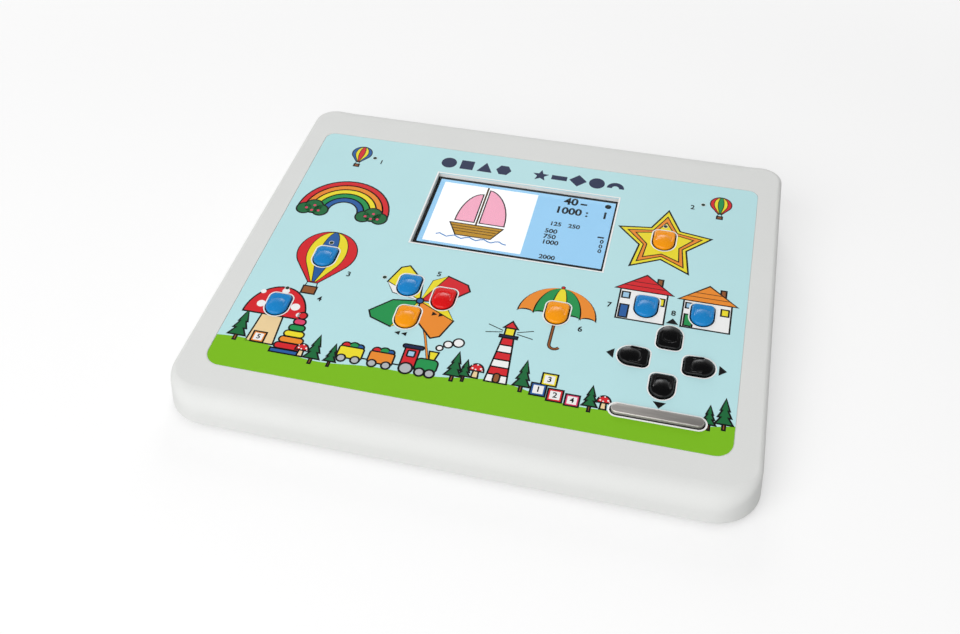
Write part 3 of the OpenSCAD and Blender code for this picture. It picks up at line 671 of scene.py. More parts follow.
def drawGround():
    left, right = -foil["width"] / 2 - 1, foil["width"] / 2 + 1
    xs = [right + (left - right) * i / ground["steps"] for i in range(ground["steps"] + 1)]
    lay([(left, -1), (right, -1)] + [(x, groundHeight(x)) for x in xs], "grass", 1)


def drawRainbow(x, y):
    for i, ink in enumerate(("red", "orange", "yellow", "green", "blue")):
        outer = 25 - 3.4 * i
        inked(wedge(x, y, outer - 3.4, outer, 0, 180, 24), ink, 1)
    for side in (-1, 1):
        for dx, dy, r in ((-4.5, 0, 4.2), (4.5, 0, 4.2), (0, 2.2, 5.2)):
            inked(circle(x + side * 16.5 + dx, y - 1 + dy, r, 24), "leaf", 3)
        for dx, dy in ((-3.4, 0.4), (0.4, 3), (3.6, -0.6), (0, -1)):
            lay(circle(x + side * 16.5 + dx, y - 1 + dy, 0.8, 12), "pink", 5)


def drawAirBalloon(x, y, r, colours, basket=True, layer=1):
    # an envelope of gores over a small basket
    lower = [(-0.16 * r, -1.42 * r), (0.16 * r, -1.42 * r)]
    envelope = moved(lower + arc(0, 0, r, -42, 222, 36), x, y)
    lay(offset(envelope, 0.3), "black", layer)
    lay(offset(envelope, -0.25), colours[0], layer + 1)
    for share, ink in ((0.66, colours[1]), (0.28, colours[2])):
        gore = [(-0.14 * r * share, -1.38 * r), (0.14 * r * share, -1.38 * r)]
        gore += [(share * px, py) for px, py in arc(0, 0, r - 0.25, -42, 222, 36)]
        inked(moved(gore, x, y), ink, layer + 2 if share > 0.5 else layer + 4, 0.4)
    if basket:
        for dx in (-1, 1):
            stroke([(x + dx * 0.16 * r, y - 1.42 * r), (x + dx * 0.2 * r, y - 1.75 * r)],
                   0.4, "black", layer)
        inked(rect(x, y - 1.92 * r, 0.5 * r, 0.36 * r), "brown", layer)


def drawToadstool(x, y, w, layer=1):
    h = 0.62 * w
    stem = [(x - 0.17 * w, y), (x - 0.22 * w, y - h), (x + 0.22 * w, y - h), (x + 0.17 * w, y)]
    inked(stem, "cream", layer)
    cap = [(x + 0.5 * w * cos(a), y - 0.04 * w + 0.62 * w * sin(a)) for a in turns(48)[:25]]
    inked(cap, "red", layer + 2)
    for dx, dy, r in ((-0.27, 0.16, 0.07), (0.29, 0.2, 0.075), (-0.33, 0.42, 0.045),
                      (0.02, 0.5, 0.06), (0.4, 0.05, 0.045), (-0.05, 0.08, 0.06)):
        lay(circle(x + dx * w, y + dy * w, r * w, 20), "white", layer + 4)


def drawPinwheel(x, y, r, foot):
    stick = [(x, y), (x + (foot[0] - x) * 0.5 + 0.6, (y + foot[1]) / 2), foot]
    stroke(stick, 1.3, "black", 1)
    stroke(stick, 0.7, "orange", 2)
    for i, ink in enumerate(("red", "yellow", "green", "orange")):
        vane = [(0, 0), (0.52 * r, -0.1 * r), (r, 0.12 * r), (0.98 * r, 0.3 * r),
                (0.62 * r, 0.6 * r)]
        fold = [(0, 0), (0.62 * r, 0.6 * r), (0.3 * r, 0.52 * r)]
        inked(moved(vane, x, y, 20 + 90 * i), ink, 3)
        inked(moved(fold, x, y, 20 + 90 * i), "white" if ink == "yellow" else "yellow", 5, 0.45)
    inked(circle(x, y, 1.8, 24), "blue", 7)


def drawUmbrella(x, y, r):
    # five gores over a scalloped edge, and a hooked handle
    pole = [(0, r), (0, -0.95 * r)] + arc(2.6, -0.95 * r, 2.6, 180, 330, 8)[1:]
    stroke(moved(pole, x, y), 1.7, "black", 1)
    stroke(moved(pole, x, y), 0.8, "brown", 2)
    edges = [-1, -0.6, -0.2, 0.2, 0.6, 1]
    quarter = [pi / 2 * i / 12 for i in range(13)]
    for i, ink in enumerate(("orange", "green", "yellow", "green", "orange")):
        for grow, colour, layer in ((0.45, "black", 3), (-0.35, ink, 4)):
            a, b = edges[i] * r - grow, edges[i + 1] * r + grow
            left = [(a * cos(t), (r + grow) * sin(t) - grow) for t in quarter]
            right = [(b * cos(t), (r + grow) * sin(t) - grow) for t in reversed(quarter[:-1])]
            scallop = [((a + b) / 2 + (b - a) / 2 * cos(t), 0.1 * r * sin(t) - grow)
                       for t in turns(16)[1:8]]
            lay(moved(left + right + scallop, x, y), colour, layer)
    inked(circle(x, y + r + 0.6, 0.9, 16), "red", 5, 0.4)


def drawBigStar(x, y):
    # a five-pointed star inside another
    inked(star(x, y - 1.5, 25, 12.6), "yellow", 1, 0.9)
    inked(star(x, y - 1.5, 20, 10.4), "orange", 3, 0.6)
    inked(star(x, y - 1.5, 15.5, 8.6), "yellow", 5, 0.6)


def drawHouse(x, y, w, h, roof, door):
    inked(rect(x, y + h / 2, w, h), "white", 1)
    top = y + h
    inked([(x - 0.62 * w, top), (x + 0.62 * w, top), (x, top + 0.5 * w)], roof, 3)
    inked(rect(x + 0.3 * w, top + 0.32 * w, 2.6, 5), "brown", 1)
    for row in (0.13, 0.26):
        half = 0.62 * w * (1 - row / 0.5)
        stroke([(x - half + 0.6, top + row * w), (x + half - 0.6, top + row * w)], 0.35, "black", 5)
    inked(rect(x - 0.36 * w, y + 0.26 * h, 0.18 * w, 0.42 * h), door, 3)
    inked(rect(x + 0.37 * w, y + 0.72 * h, 0.16 * w, 0.24 * h), "yellow", 3)
    inked(rect(x - 0.37 * w, y + 0.8 * h, 0.16 * w, 0.2 * h), "paleBlue", 3)


def drawTree(x, w, h):
    y = groundHeight(x) - 1.5
    inked(rect(x, y + 1.2, 0.16 * w, 3.4), "brown", 2)
    for i in range(3):
        low = y + 2.6 + i * h * 0.26
        half = w / 2 * (1 - 0.24 * i)
        inked([(x - half, low), (x + half, low), (x, low + h * 0.46)], "leaf", 3 if i != 1 else 3.5)


def drawBlock(x, size, ink, number, lift):
    y = groundHeight(x) - 0.6 + size / 2 + lift
    inked(rect(x, y, size, size), ink, 4)
    lay(rect(x, y, size * 0.68, size * 0.68), "white", 6)
    numeral(number, size * 0.62, x, y, "black", 7)


def drawRings(x):
    y = groundHeight(x) - 1
    stroke([(x, y), (x, y + 25)], 1.4, "brown", 2)
    inked(rect(x, y + 1.1, 16, 2.4), "blue", 3)
    for i, ink in enumerate(("red", "orange", "yellow", "green", "pink")):
        w, low, high = 14 - 2 * i, y + 2.6 + 4 * i, y + 6.4 + 4 * i
        inked(roundRect(x - w / 2, x + w / 2, low, high, 1.85, steps=6), ink, 3)
    inked(circle(x, y + 24.6, 2.2, 24), "red", 5)


def drawTrain(x):
    # a small engine and two trucks on the grass
    y = groundHeight(x + 18) + 2.2
    for i, ink in enumerate(("yellow", "orange")):
        cx = x + 15 * i
        inked(roundRect(cx - 6, cx + 6, y, y + 7, 1, steps=3), ink, 4)
        stroke([(cx + 5.6, y + 1.4), (cx + 9.6, y + 1.4)], 0.8, "black", 3)
        for dx, r, load in ((-3.2, 2.2, "red"), (0.6, 2.6, "green"), (3.6, 1.9, "blue")):
            inked(circle(cx + dx, y + 7.4, r, 24), load, 2)
        for dx in (-3.4, 3.4):
            inked(circle(cx + dx, y - 0.4, 2.1, 24), "grey", 6, 0.9)
    cx = x + 31
    inked(roundRect(cx - 6.5, cx + 0.5, y, y + 13, 0.8, steps=3), "red", 4)
    inked(roundRect(cx - 8, cx + 2, y + 12.4, y + 14.6, 1, steps=3), "navy", 6)
    inked(roundRect(cx - 4.8, cx - 1.2, y + 7.4, y + 11, 0.5, steps=3), "paleBlue", 6)
    inked(roundRect(cx + 0.5, cx + 11, y, y + 7.6, 2.4, steps=6), "green", 4)
    inked([(cx + 6, y + 7.6), (cx + 8.6, y + 7.6), (cx + 9.6, y + 12.6), (cx + 5, y + 12.6)],
          "yellow", 5)
    for dx, dy, r in ((9, 15.6, 1.6), (12.4, 18.6, 2.1), (17, 20.6, 2.6)):
        inked(circle(cx + dx, y + dy, r, 24), "white", 1)
    for dx, r in ((-3.2, 3.2), (3.6, 2.3), (8.4, 2.3)):
        inked(circle(cx + dx, y + r - 3, r, 28), "grey", 7, 1.0)


def drawLighthouse(x):
    y = groundHeight(x) - 1
    for i in range(6):
        low, high = 5.2 - 0.42 * i, 5.2 - 0.42 * (i + 1)
        inked([(x - low, y + 4.6 * i), (x + low, y + 4.6 * i), (x + high, y + 4.6 * (i + 1)),
               (x - high, y + 4.6 * (i + 1))], "red" if i % 2 else "white", 2)
    inked(rect(x, y + 28.5, 8.6, 1.6), "navy", 5)
    inked(rect(x, y + 31.6, 4.6, 4.6), "yellow", 4)
    inked([(x - 3.4, y + 34), (x + 3.4, y + 34), (x, y + 38.5)], "red", 6)
    inked(roundRect(x - 1.5, x + 1.5, y, y + 5.4, 1.4, steps=5), "brown", 5)
    for side in (-1, 1):
        stroke([(x + side * 3.4, y + 32), (x + side * 11, y + 34.6)], 0.5, "black", 1)
        stroke([(x + side * 3.4, y + 31), (x + side * 11.4, y + 29.4)], 0.5, "black", 1)


def drawTopShapes(y, size, gap=1.8):
    # a row of plain shapes above the display, with a space after the fourth
    r = size / 2
    disc = circle(0, 0, r, 32)
    row = [disc, rect(0, 0, size * 0.86, size * 0.86),
           [(-r, -r * 0.85), (r, -r * 0.85), (0, r)],
           [(r * cos(a), r * sin(a)) for a in turns(6)], None,
           star(0, 0, r * 1.1, r * 0.48), rect(0, 0, size, size * 0.42),
           rect(0, 0, size * 0.8, size * 0.8, 45), disc,
           wedge(0, -r * 0.5, r * 0.45, r * 1.1, 0, 180)]
    for i, shape in enumerate(row):
        if shape:
            lay(moved(shape, (i - 4.5) * (size + gap), y), "navy", 2)


marks = {
    "beyond": 3.4, "tip": 2, "foot": 1.6, "half": 3,
    "pairUnder": 10.6, "pairApart": 1.7, "pairTip": 1.5, "pairFoot": 1.1, "pairHalf": 1.3,
}


def drawMarks():
    # arrows beyond the four arrow keys and doubled ones under the winding keys
    reach = keys["length"] / 2 + marks["beyond"]
    tip, foot, half = marks["tip"], marks["foot"], marks["half"]
    ways = {"up": (0, 1), "down": (0, -1), "left": (-1, 0), "right": (1, 0)}
    for name, (dx, dy) in ways.items():
        spot = keyPlaces[name]
        arrow = [(tip * dx, tip * dy), (-foot * dx - half * dy, -foot * dy + half * dx),
                 (-foot * dx + half * dy, -foot * dy - half * dx)]
        lay(moved(arrow, spot.x + dx * reach, spot.y + dy * reach), "black", 6)
    tip, foot, half = marks["pairTip"], marks["pairFoot"], marks["pairHalf"]
    for name, way in (("forward", 1), ("back", -1)):
        spot = keyPlaces[name]
        arrow = [(tip * way, 0), (-foot * way, half), (-foot * way, -half)]
        for i in (-1, 1):
            lay(moved(arrow, spot.x + marks["pairApart"] * i, spot.y - marks["pairUnder"]),
                "black", 8)


def drawHalos():
    # the white line that the print leaves round each opening
    for name, (turn, slot) in keyKinds.items():
        spot = keyPlaces[name]
        lay(moved(keyOutline(keys["foilGap"] + keys["halo"]), spot.x, spot.y, turn), "white", 9)
    lay(moved(barOutline(keys["foilGap"] + bar["halo"]), barPlace.x, barPlace.y), "white", 9)
    lay(rect(0, display["y"], display["openingWidth"] + display["halo"],
             display["openingDepth"] + display["halo"]), "white", 9)
    for x, y in lights:
        lay(circle(x, y, lens["radius"] + lens["halo"], lens["sides"]), "white", 9)


# where the print's motifs stand on the foil, from the middle of its front edge
layout = {
    "rainbow": (-92, 114), "pinwheel": (-33.4, 60.2, 25, (-16, 14)),
    "balloons": ((-97, 164, 5.6, ("blue", "yellow", "red")),
                 (103.5, 163.5, 5.6, ("red", "yellow", "green"))),
    "houses": ((72.5, 70.5, 23, 20, "red", "blue"), (103.5, 71.5, 23, 18, "orange", "green")),
    "train": -56, "rings": -86, "lighthouse": 14, "topShapes": (166.5, 8.6),
    # x, width and height
    "trees": ((-113, 9, 17), (-73, 8, 15), (-64, 6, 11), (-6, 8, 15), (-1, 6, 10), (26, 8, 16),
              (58, 7, 12), (110.5, 6, 11), (117, 8, 15)),
    # x, size, ink, number and lift
    "blocks": ((34, 7, "blue", "1", 0), (42, 7, "red", "2", 0), (38, 7, "yellow", "3", 7.6),
               (50, 6.4, "pink", "4", 0), (-102, 6.4, "orange", "5", 0)),
    # x, lift and width
    "toadstools": ((64, 4.2, 6.4), (4, 4.6, 7), (-79, 4.4, 6.4)),
    "numberSize": 4.6,
    "numbers": (("1", -84, 158.5), ("2", 89, 158), ("3", -73.5, 70), ("4", -82, 50.5),
                ("5", -29, 80), ("6", 46, 59), ("7", 57, 78), ("8", 88, 79)),
}


def drawPrint():
    drawGround()
    drawRainbow(*layout["rainbow"])
    spot = keyPlaces["group"]
    drawAirBalloon(spot.x, spot.y + 3.2, 15.5, ("red", "yellow", "blue"), basket=False)
    inked(rect(spot.x, spot.y - 24, 7, 5), "brown", 1)
    for dx in (-1, 1):
        stroke([(spot.x + dx * 2.4, spot.y - 17), (spot.x + dx * 3, spot.y - 22)], 0.5, "black", 1)
    drawToadstool(keyPlaces["start"].x, keyPlaces["start"].y - 6, 31)
    drawPinwheel(*layout["pinwheel"])
    drawUmbrella(keyPlaces["side"].x, keyPlaces["side"].y - 2, 19)
    drawBigStar(keyPlaces["mode"].x, keyPlaces["mode"].y)
    for house in layout["houses"]:
        drawHouse(*house)
    for balloon in layout["balloons"]:
        drawAirBalloon(*balloon)
    drawTrain(layout["train"])
    drawRings(layout["rings"])
    drawLighthouse(layout["lighthouse"])
    for tree in layout["trees"]:
        drawTree(*tree)
    for block in layout["blocks"]:
        drawBlock(*block)
    for x, lift, w in layout["toadstools"]:
        drawToadstool(x, groundHeight(x) + lift, w, 5)
    drawTopShapes(*layout["topShapes"])
    for number, x, y in layout["numbers"]:
        numeral(number, layout["numberSize"], x, y)
    drawMarks()
    drawHalos()


def numeralPrisms(text, size, x, y, low, high, ink, boldness):
    # the outlines of a plain number as a bmesh of prisms
    curve = bpy.data.curves.new("numeral", "FONT")
    curve.body = text
    curve.size = size
    curve.align_x, curve.align_y = "CENTER", "CENTER"
    curve.resolution_u = 4
    curve.offset = boldness * size
    helper = bpy.data.objects.new("numeral", curve)
    scene.collection.objects.link(helper)
    mesh = finalMesh(helper)
    bpy.data.objects.remove(helper)
    bm = bmesh.new()
    bm.from_mesh(mesh)
    bmesh.ops.transform(bm, matrix=Matrix.Translation((x, y, low)), verts=bm.verts)
    lifted = vertsOf(bmesh.ops.extrude_face_region(bm, geom=bm.faces[:])["geom"])
    bmesh.ops.translate(bm, vec=(0, 0, high - low), verts=lifted)
    bmesh.ops.recalc_face_normals(bm, faces=bm.faces)
    for face in bm.faces:
        face.material_index = ink
    return bm


def colourByInk(mesh):
    # each face's ink as a colour attribute that the print's material reads
    colours = mesh.color_attributes.new("ink", "FLOAT_COLOR", "CORNER")
    palette = [linear(inks[name]) for name in inkNames]
    for face in mesh.polygons:
        for corner in face.loop_indices:
            colours.data[corner].color = palette[face.material_index]
        face.material_index = 0


def joinInto(bm, part):
    # adds one bmesh to another
    mesh = bpy.data.meshes.new("part")
    part.to_mesh(mesh)
    part.free()
    bm.from_mesh(mesh)
    bpy.data.meshes.remove(mesh)


# half sizes (mm) of what a printed shape must miss to stay uncut
clearance = {"key": (9, 9), "bar": (22.5, 4.5), "lens": (2, 2), "display": 1}


def touchesHoles(points):
    # whether an outline comes near an opening of the foil or its edge
    xs, ys = [p[0] for p in points], [p[1] for p in points]
    x0, x1, y0, y1 = min(xs), max(xs), min(ys), max(ys)
    if x0 < -foil["width"] / 2 or x1 > foil["width"] / 2 or y0 < 0 or y1 > foil["depth"]:
        return True
    spots = [(p.x, p.y, *clearance["key"]) for p in keyPlaces.values()]
    spots += [(barPlace.x, barPlace.y, *clearance["bar"])]
    spots += [(0, display["y"], display["openingWidth"] / 2 + clearance["display"],
               display["openingDepth"] / 2 + clearance["display"])]
    spots += [(x, y, *clearance["lens"]) for x, y in lights]
    return any(x0 < x + w and x1 > x - w and y0 < y + d and y1 > y - d for x, y, w, d in spots)


def makeFoil():
    edge = roundRect(-foil["width"] / 2, foil["width"] / 2, 0, foil["depth"], foil["frontRadius"],
                     foil["backRadius"])
    reach = foil["cut"]
    sheet = bmesh.new()
    addPrism(sheet, edge, -foil["recess"], foilTop)
    sheet.normal_update()
    for face in sheet.faces:
        if abs(face.normal.z) < 0.5:
            face.material_index = inkNames.index("white")     # the clear edge shows no ink
    whole = newObject("sheet", sheet)
    cutPiece(whole, newObject("holes", holeCutter(keys["foilGap"], -reach, reach)))
    cutter = newObject("print holes", holeCutter(keys["foilGap"], -reach, reach))
    bound = bmesh.new()
    addPrism(bound, edge, -reach, reach)
    limit = newObject("print limit", bound)
    bm = takeMesh(whole)
    drawPrint()
    for shape, ink, layer in printed:
        low = foilTop + foil["lift"] + foil["layer"] * (layer - 1)
        high = low + foil["ink"]
        index = inkNames.index(ink)
        if isinstance(shape[0], str):
            part = numeralPrisms(*shape, low, high, index, foil["boldness"])
        else:
            part = bmesh.new()
            addPrism(part, shape, low, high, index)
            if touchesHoles(shape):
                single = newObject("shape", part)
                cutPiece(single, cutter, keep=True)
                cutPiece(single, limit, "INTERSECT", keep=True)
                part = takeMesh(single)
                for face in part.faces:
                    face.material_index = index
        joinInto(bm, part)
    bpy.data.objects.remove(cutter)
    bpy.data.objects.remove(limit)
    for face in bm.faces:
        face.smooth = False
    piece = makePiece("printed_foil", bm, "foil_print", "console", replace=["front_foil"], smooth=0)
    colourByInk(piece.data)


makeFoil()
print("foil:", len(printed), "printed shapes")


panelLevel = panelUp.dot(panel.translation) * mm
paintedLight = {"footLow": -0.1, "footHigh": 0.24, "footShare": 0.1,
        "highlightFrom": -20, "highlightTo": 16, "highlightShare": 1.32, "otherShare": 0.92}
# painted shade: the colour darkens at the foot of the keys and the tone bar, a dark line in the gap
# where little light gets in
paintedGapShade = (tuple(panelUp), panelLevel + paintedLight["footLow"] * mm, panelLevel + paintedLight["footHigh"] * mm,
            paintedLight["footShare"], 1.0)
# painted highlight: the bar's colour is lighter towards its left end
paintedEndHighlight = ((1, 0, 0), (barPlace.x + paintedLight["highlightFrom"]) * mm,
             (barPlace.x + paintedLight["highlightTo"]) * mm, paintedLight["highlightShare"], paintedLight["otherShare"])


def makeKeyFinish(name, colour):
    return makeFinish(name, colour, 0.26, grain=1.2, depth=0.003, tint=0.02, specular=0.3,
                      ramps=[paintedGapShade])


finishes.update({
    # ABS keys from a polished tool: deep even colours with a soft gloss, with painted shade at
    # their foot in the gap
    "key_blue": makeKeyFinish("moulded blue ABS", "1587CF"),
    "key_red": makeKeyFinish("moulded red ABS", "E3080C"),
    "key_orange": makeKeyFinish("moulded orange ABS", "FF9F00"),
    "key_black": makeKeyFinish("polished black ABS", "050506"),
    # aluminium-flake lacquer over the tone bar: a warm satin grey whose bevel catches the light,
    # with long brush marks, painted shade at its foot and a painted highlight towards its left end
    "bar_grey": makeFinish("aluminium-flake lacquer", "A8A4A0", 0.34, grain=1.5, depth=0.006,
                           blotch=7, tint=0.2, metallic=0.5, stretch=(0.09, 1, 1),
                           ramps=[paintedGapShade, paintedEndHighlight]),
})
crownRise = keys["crown"] - keys["rim"]
ballRadius = ((keys["width"] / 2) ** 2 + crownRise ** 2) / (2 * crownRise)


def keyHeight(x, y):
    # the ball-shaped crown, and behind its edge the shelf that slopes a little to the back
    reach = ballRadius ** 2 - x ** 2 - (y - keyRoundY) ** 2
    crown = keys["crown"] - ballRadius + (sqrt(reach) if reach > 0 else 0)
    if y <= keyRoundY:
        return max(crown, keys["rim"])
    shelf = keys["rim"] + keys["shelfSlope"] * (keys["length"] / 2 - y)
    # a fine groove runs where the crown meets the shelf
    groove = keys["groove"] * exp(-((crown - shelf) / keys["grooveReach"]) ** 2)
    return max(crown, shelf) - groove


def makeKey(name, turn, slot):
    spot = keyPlaces[name]
    flat = keyOutline(-keys["shrink"])
    edge = keys["edge"]

    def ring(points, z):
        # a ring of the cap, at an even height or following the crown from `z` under it
        turned = moved(points, spot.x, spot.y, turn)
        return [(x, y, z(*point) if callable(z) else z) for point, (x, y) in zip(points, turned)]

    rings = [ring(keyOutline(keys["flangeOut"]), keys["flangeLow"]),
             ring(keyOutline(keys["flangeOut"]), keys["flangeHigh"]),
             ring(flat, keys["flangeHigh"]), ring(flat, 0.0)]
    # the edge rolls over in a quarter round, then rings shrink to the middle over the crown
    for i in range(keys["rollSteps"] + 1):
        a = pi / 2 * i / keys["rollSteps"]
        drop = edge * (1 - sin(a))
        rings.append(ring(offset(flat, -edge * (1 - cos(a))), lambda x, y: keyHeight(x, y) - drop))
    inner = offset(flat, -edge)
    for i in range(1, keys["crownRings"]):
        share = 1 - i / keys["crownRings"]
        rings.append(ring([(x * share, keyRoundY + (y - keyRoundY) * share) for x, y in inner],
                          keyHeight))
    bm = bmesh.new()
    loft(bm, rings)
    addPrism(bm, circle(spot.x, spot.y, keys["stemRadius"], keys["stemSides"]), keys["stemLow"],
             keys["flangeLow"])
    makePiece(name + "_key_cap", bm, slot, name + "_button", replace=[name + "_key"], smooth=50)


def makeToneBar():
    def ring(grow, z):
        return [(x, y, z) for x, y in moved(barOutline(grow), barPlace.x, barPlace.y)]

    # the side wall, then a narrow bevel up to the flat top
    steps = [(0, keys["flangeHigh"])]
    steps += [(inset, bar["crown"] - under) for inset, under in bar["bevel"]]
    rings = [ring(keys["flangeOut"], keys[height]) for height in ("flangeLow", "flangeHigh")]
    rings += [ring(-bar["shrink"] - inset, z) for inset, z in steps]
    bm = bmesh.new()
    loft(bm, rings)
    for side in (-1, 1):
        addPrism(bm, circle(barPlace.x + side * bar["stem"], barPlace.y, keys["stemRadius"],
                            keys["stemSides"]), keys["stemLow"], keys["flangeLow"])
    makePiece("tone_bar_cap", bm, "bar_grey", "tone_button", replace=["tone_bar"], smooth=35)


for name, (turn, slot) in keyKinds.items():
    makeKey(name, turn, slot)
makeToneBar()
print("keys:", len(keyKinds), "caps and the tone bar")


screen = {
    "picture": -4.09, "film": (-48.95, 48.95, 100, 156.6), "field": (-45.8, 6.6, 106.6, 154.1),
    "border": -3.598, "borderThickness": 0.012, "borderOuter": (54.5, 33), "borderCorner": 1.5,
    "borderInner": (-48.3, 48.8, 104.4, 155.6), "borderInnerCorner": 0.4, "layer": 0.006,
    "ink": 0.004, "boldness": 0.032, "boat": (-21, 117),
    "numbers": (("40", 7.6, 25, 152.4), ("1", 7.2, 44.4, 145), ("1000 :", 7.2, 26.6, 144.6),
                ("125   250", 4.2, 25, 133.2), ("500", 4.4, 18.8, 127.2),
                ("750", 4.4, 18.8, 122.9), ("1000", 4.4, 19.9, 118.6), ("2000", 4.2, 20.4, 107.4),
                ("0", 3.9, 46, 124.8), ("0", 3.9, 45.9, 121.2), ("0", 3.9, 45.9, 117.6)),
    "dot": (45, 152.7, 1.7), "dashes": ((32, 151.6, 3.6, 1.2), (45, 128, 3.4, 1.1)),
}


def drawBoat(x, y):
    # a small sailing boat; x, y is the middle of its waterline
    hull = [(x - 14, y + 6), (x + 15, y + 6), (x + 10, y - 3), (x - 9, y - 3)]
    inked(hull, "hullBrown", 3, 0.7)
    for rise, left, right in ((4, -12.4, 13.4), (2, -11.2, 12), (0, -10, 10.8)):
        stroke([(x + left, y + rise), (x + right, y + rise)], 0.5, "hullDark", 5)
    stroke([(x, y + 6), (x, y + 37)], 1.0, "hullDark", 3)
    quarter = [pi / 2 * i / 9 for i in range(10)]
    fore = [(x + 1.4 + 13.5 * cos(t) ** 1.2, y + 8 + 27 * sin(t)) for t in quarter]
    aft = [(x - 1.4 - 10.5 * sin(t), y + 8 + 23 * cos(t)) for t in quarter]
    inked([(x + 1.4, y + 8)] + fore, "rose", 4, 0.7)
    inked([(x - 1.4, y + 8)] + aft, "rose", 4, 0.7)
    wave = [(x - 19 + 2 * i, y - 4.6 + 0.9 * sin(1.6 * i)) for i in range(20)]
    stroke(wave, 0.8, "waveBlue", 3)


def drawPicture():
    # a white field with the boat, and plain numbers on pale blue beside it
    lay(box(*screen["film"]), "screenBlue", 1)
    lay(box(*screen["field"]), "screenWhite", 2)
    drawBoat(*screen["boat"])
    for number in screen["numbers"]:
        numeral(*number, "black", 3)
    lay(circle(*screen["dot"], 24), "black", 3)
    for dash in screen["dashes"]:
        lay(rect(*dash), "black", 3)


def makePicture():
    # the lit film, drawn as thin layers of ink
    printed.clear()
    drawPicture()
    bm = bmesh.new()
    for shape, ink, layer in printed:
        low = screen["picture"] + screen["layer"] * (layer - 1)
        high = low + screen["ink"]
        index = inkNames.index(ink)
        if isinstance(shape[0], str):
            joinInto(bm, numeralPrisms(*shape, low, high, index, screen["boldness"]))
        else:
            addPrism(bm, shape, low, high, index)
    piece = makePiece("display_picture", bm, "display_light", "console", smooth=0)
    colourByInk(piece.data)


def makeBorder():
    # the black frame printed on the back of the window
    w, d = screen["borderOuter"]
    outer = roundRect(-w, w, display["y"] - d, display["y"] + d, screen["borderCorner"])
    inner = roundRect(*screen["borderInner"], screen["borderInnerCorner"])
    low, high = screen["border"], screen["border"] + screen["borderThickness"]
    walk = ((outer, low), (outer, high), (inner, high), (inner, low), (outer, low))
    bm = bmesh.new()
    loft(bm, [[(x, y, z) for x, y in line] for line, z in walk], closed=False)
    piece = makePiece("window_border", bm, "border_ink", "console", smooth=0, repair=True)


makePicture()
makeBorder()
print("display: picture and window border")


sharpAngle = 30


def softened(node, name, slot, width, segments):
    # a merged copy of a CAD node with its sharp edges rounded by `width`
    bm = bmesh.new()
    bm.from_mesh(nodes[node].data)
    bmesh.ops.transform(bm, matrix=Matrix.Scale(1 / mm, 4), verts=bm.verts)
    bmesh.ops.remove_doubles(bm, verts=bm.verts, dist=1e-3)
    bmesh.ops.dissolve_limit(bm, angle_limit=radians(0.6), verts=bm.verts, edges=bm.edges)
    sharp = [e for e in bm.edges
             if len(e.link_faces) == 2 and e.calc_face_angle(0) > radians(sharpAngle)]
    bmesh.ops.bevel(bm, geom=sharp, offset=width, offset_type="OFFSET", segments=segments,
                    profile=0.5, affect="EDGES", clamp_overlap=True, material=-1)
    makePiece(name, bm, slot, nodes[node]["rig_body"], upright, [node], smooth=35)


feet = {
    "radius": 7, "edge": 0.9, "edgeSteps": 5, "height": 2.5, "topEdge": 0.2, "dimple": 4.2,
    "dimpleDepth": 0.5, "dimpleSlope": 1, "lip": 0.3, "lipHeight": 0.12, "sides": 48,
}


def makeFeet():
    # four turned rubber feet, each with a shallow dimple under it
    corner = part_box("rubber_feet")[1] / mm
    r, h, edge, dimple = feet["radius"], feet["height"], feet["edge"], feet["dimple"]
    profile = [(0, feet["dimpleDepth"]), (dimple - feet["dimpleSlope"], feet["dimpleDepth"]),
               (dimple, feet["lipHeight"]), (dimple + feet["lip"], 0)]
    for i in range(feet["edgeSteps"] + 1):
        a = pi / 2 * i / feet["edgeSteps"]
        profile.append((r - edge + edge * sin(a), edge * (1 - cos(a))))
    profile += [(r, h - feet["topEdge"]), (r - feet["topEdge"], h), (0, h)]
    bm = bmesh.new()
    for sx in (-1, 1):
        for sy in (-1, 1):
            x, y = sx * (corner.x - r), sy * (corner.y - r)
            verts = [bm.verts.new((x + px, y, pz)) for px, pz in profile]
            edges = [bm.edges.new(pair) for pair in zip(verts, verts[1:])]
            bmesh.ops.spin(bm, geom=verts + edges, cent=(x, y, 0), axis=(0, 0, 1), angle=2 * pi,
                           steps=feet["sides"], use_merge=True)
    makePiece("turned_feet", bm, "foot_rubber", "console", upright, ["rubber_feet"], repair=True)


# nodes drawn with their edges rounded: the piece's name and slot, the width (mm), the segments
rounded = {
    "bottom_cover": ("casing_base", "case_white", 0.35, 2),
    "case_screws": ("case_screw_heads", "screw_steel", 0.12, 2),
    "left_phone_socket": ("left_phone_socket_body", "socket_blue", 0.3, 3),
    "right_phone_socket": ("right_phone_socket_body", "socket_red", 0.3, 3),
    "response_socket": ("response_socket_body", "socket_black", 0.3, 3),
    "power_socket": ("power_socket_body", "socket_black", 0.3, 3),
    "data_socket": ("data_socket_body", "socket_steel", 0.3, 3),
}

makeFeet()
for node, details in rounded.items():
    softened(node, *details)
print("base, feet, screws and sockets")

# the CAD nodes that stay get the finish of their slot
kept = {entry["node"]: entry["material_slot"] for entry in frame["record"]["subparts"]}
for name, node in nodes.items():
    if not node.hide_render:
        for holder in node.material_slots:
            holder.material = finishes[kept[name]]
print("kept CAD nodes:", sum(not node.hide_render for node in nodes.values()))


# the photograph's viewpoint, solved from the foil's corners
view = {
    "lens": 39.03, "sensor": 36, "near": 0.01, "far": 50, "place": (0.0852, -0.3975, 0.3622),
    "right": (0.9712, 0.2383, 0.0023), "up": (-0.1623, 0.6545, 0.7385),
    "back": (0.1744, -0.7175, 0.6743),
}


def makeCamera():
    data = bpy.data.cameras.new("camera")
    data.lens = view["lens"]
    data.sensor_width = view["sensor"]
    data.clip_start, data.clip_end = view["near"], view["far"]
    camera = bpy.data.objects.new("camera", data)
    scene.collection.objects.link(camera)
    turn = Matrix((view["right"], view["up"], view["back"])).transposed()
    camera.matrix_world = Matrix.Translation(view["place"]) @ turn.to_4x4()
    scene.camera = camera


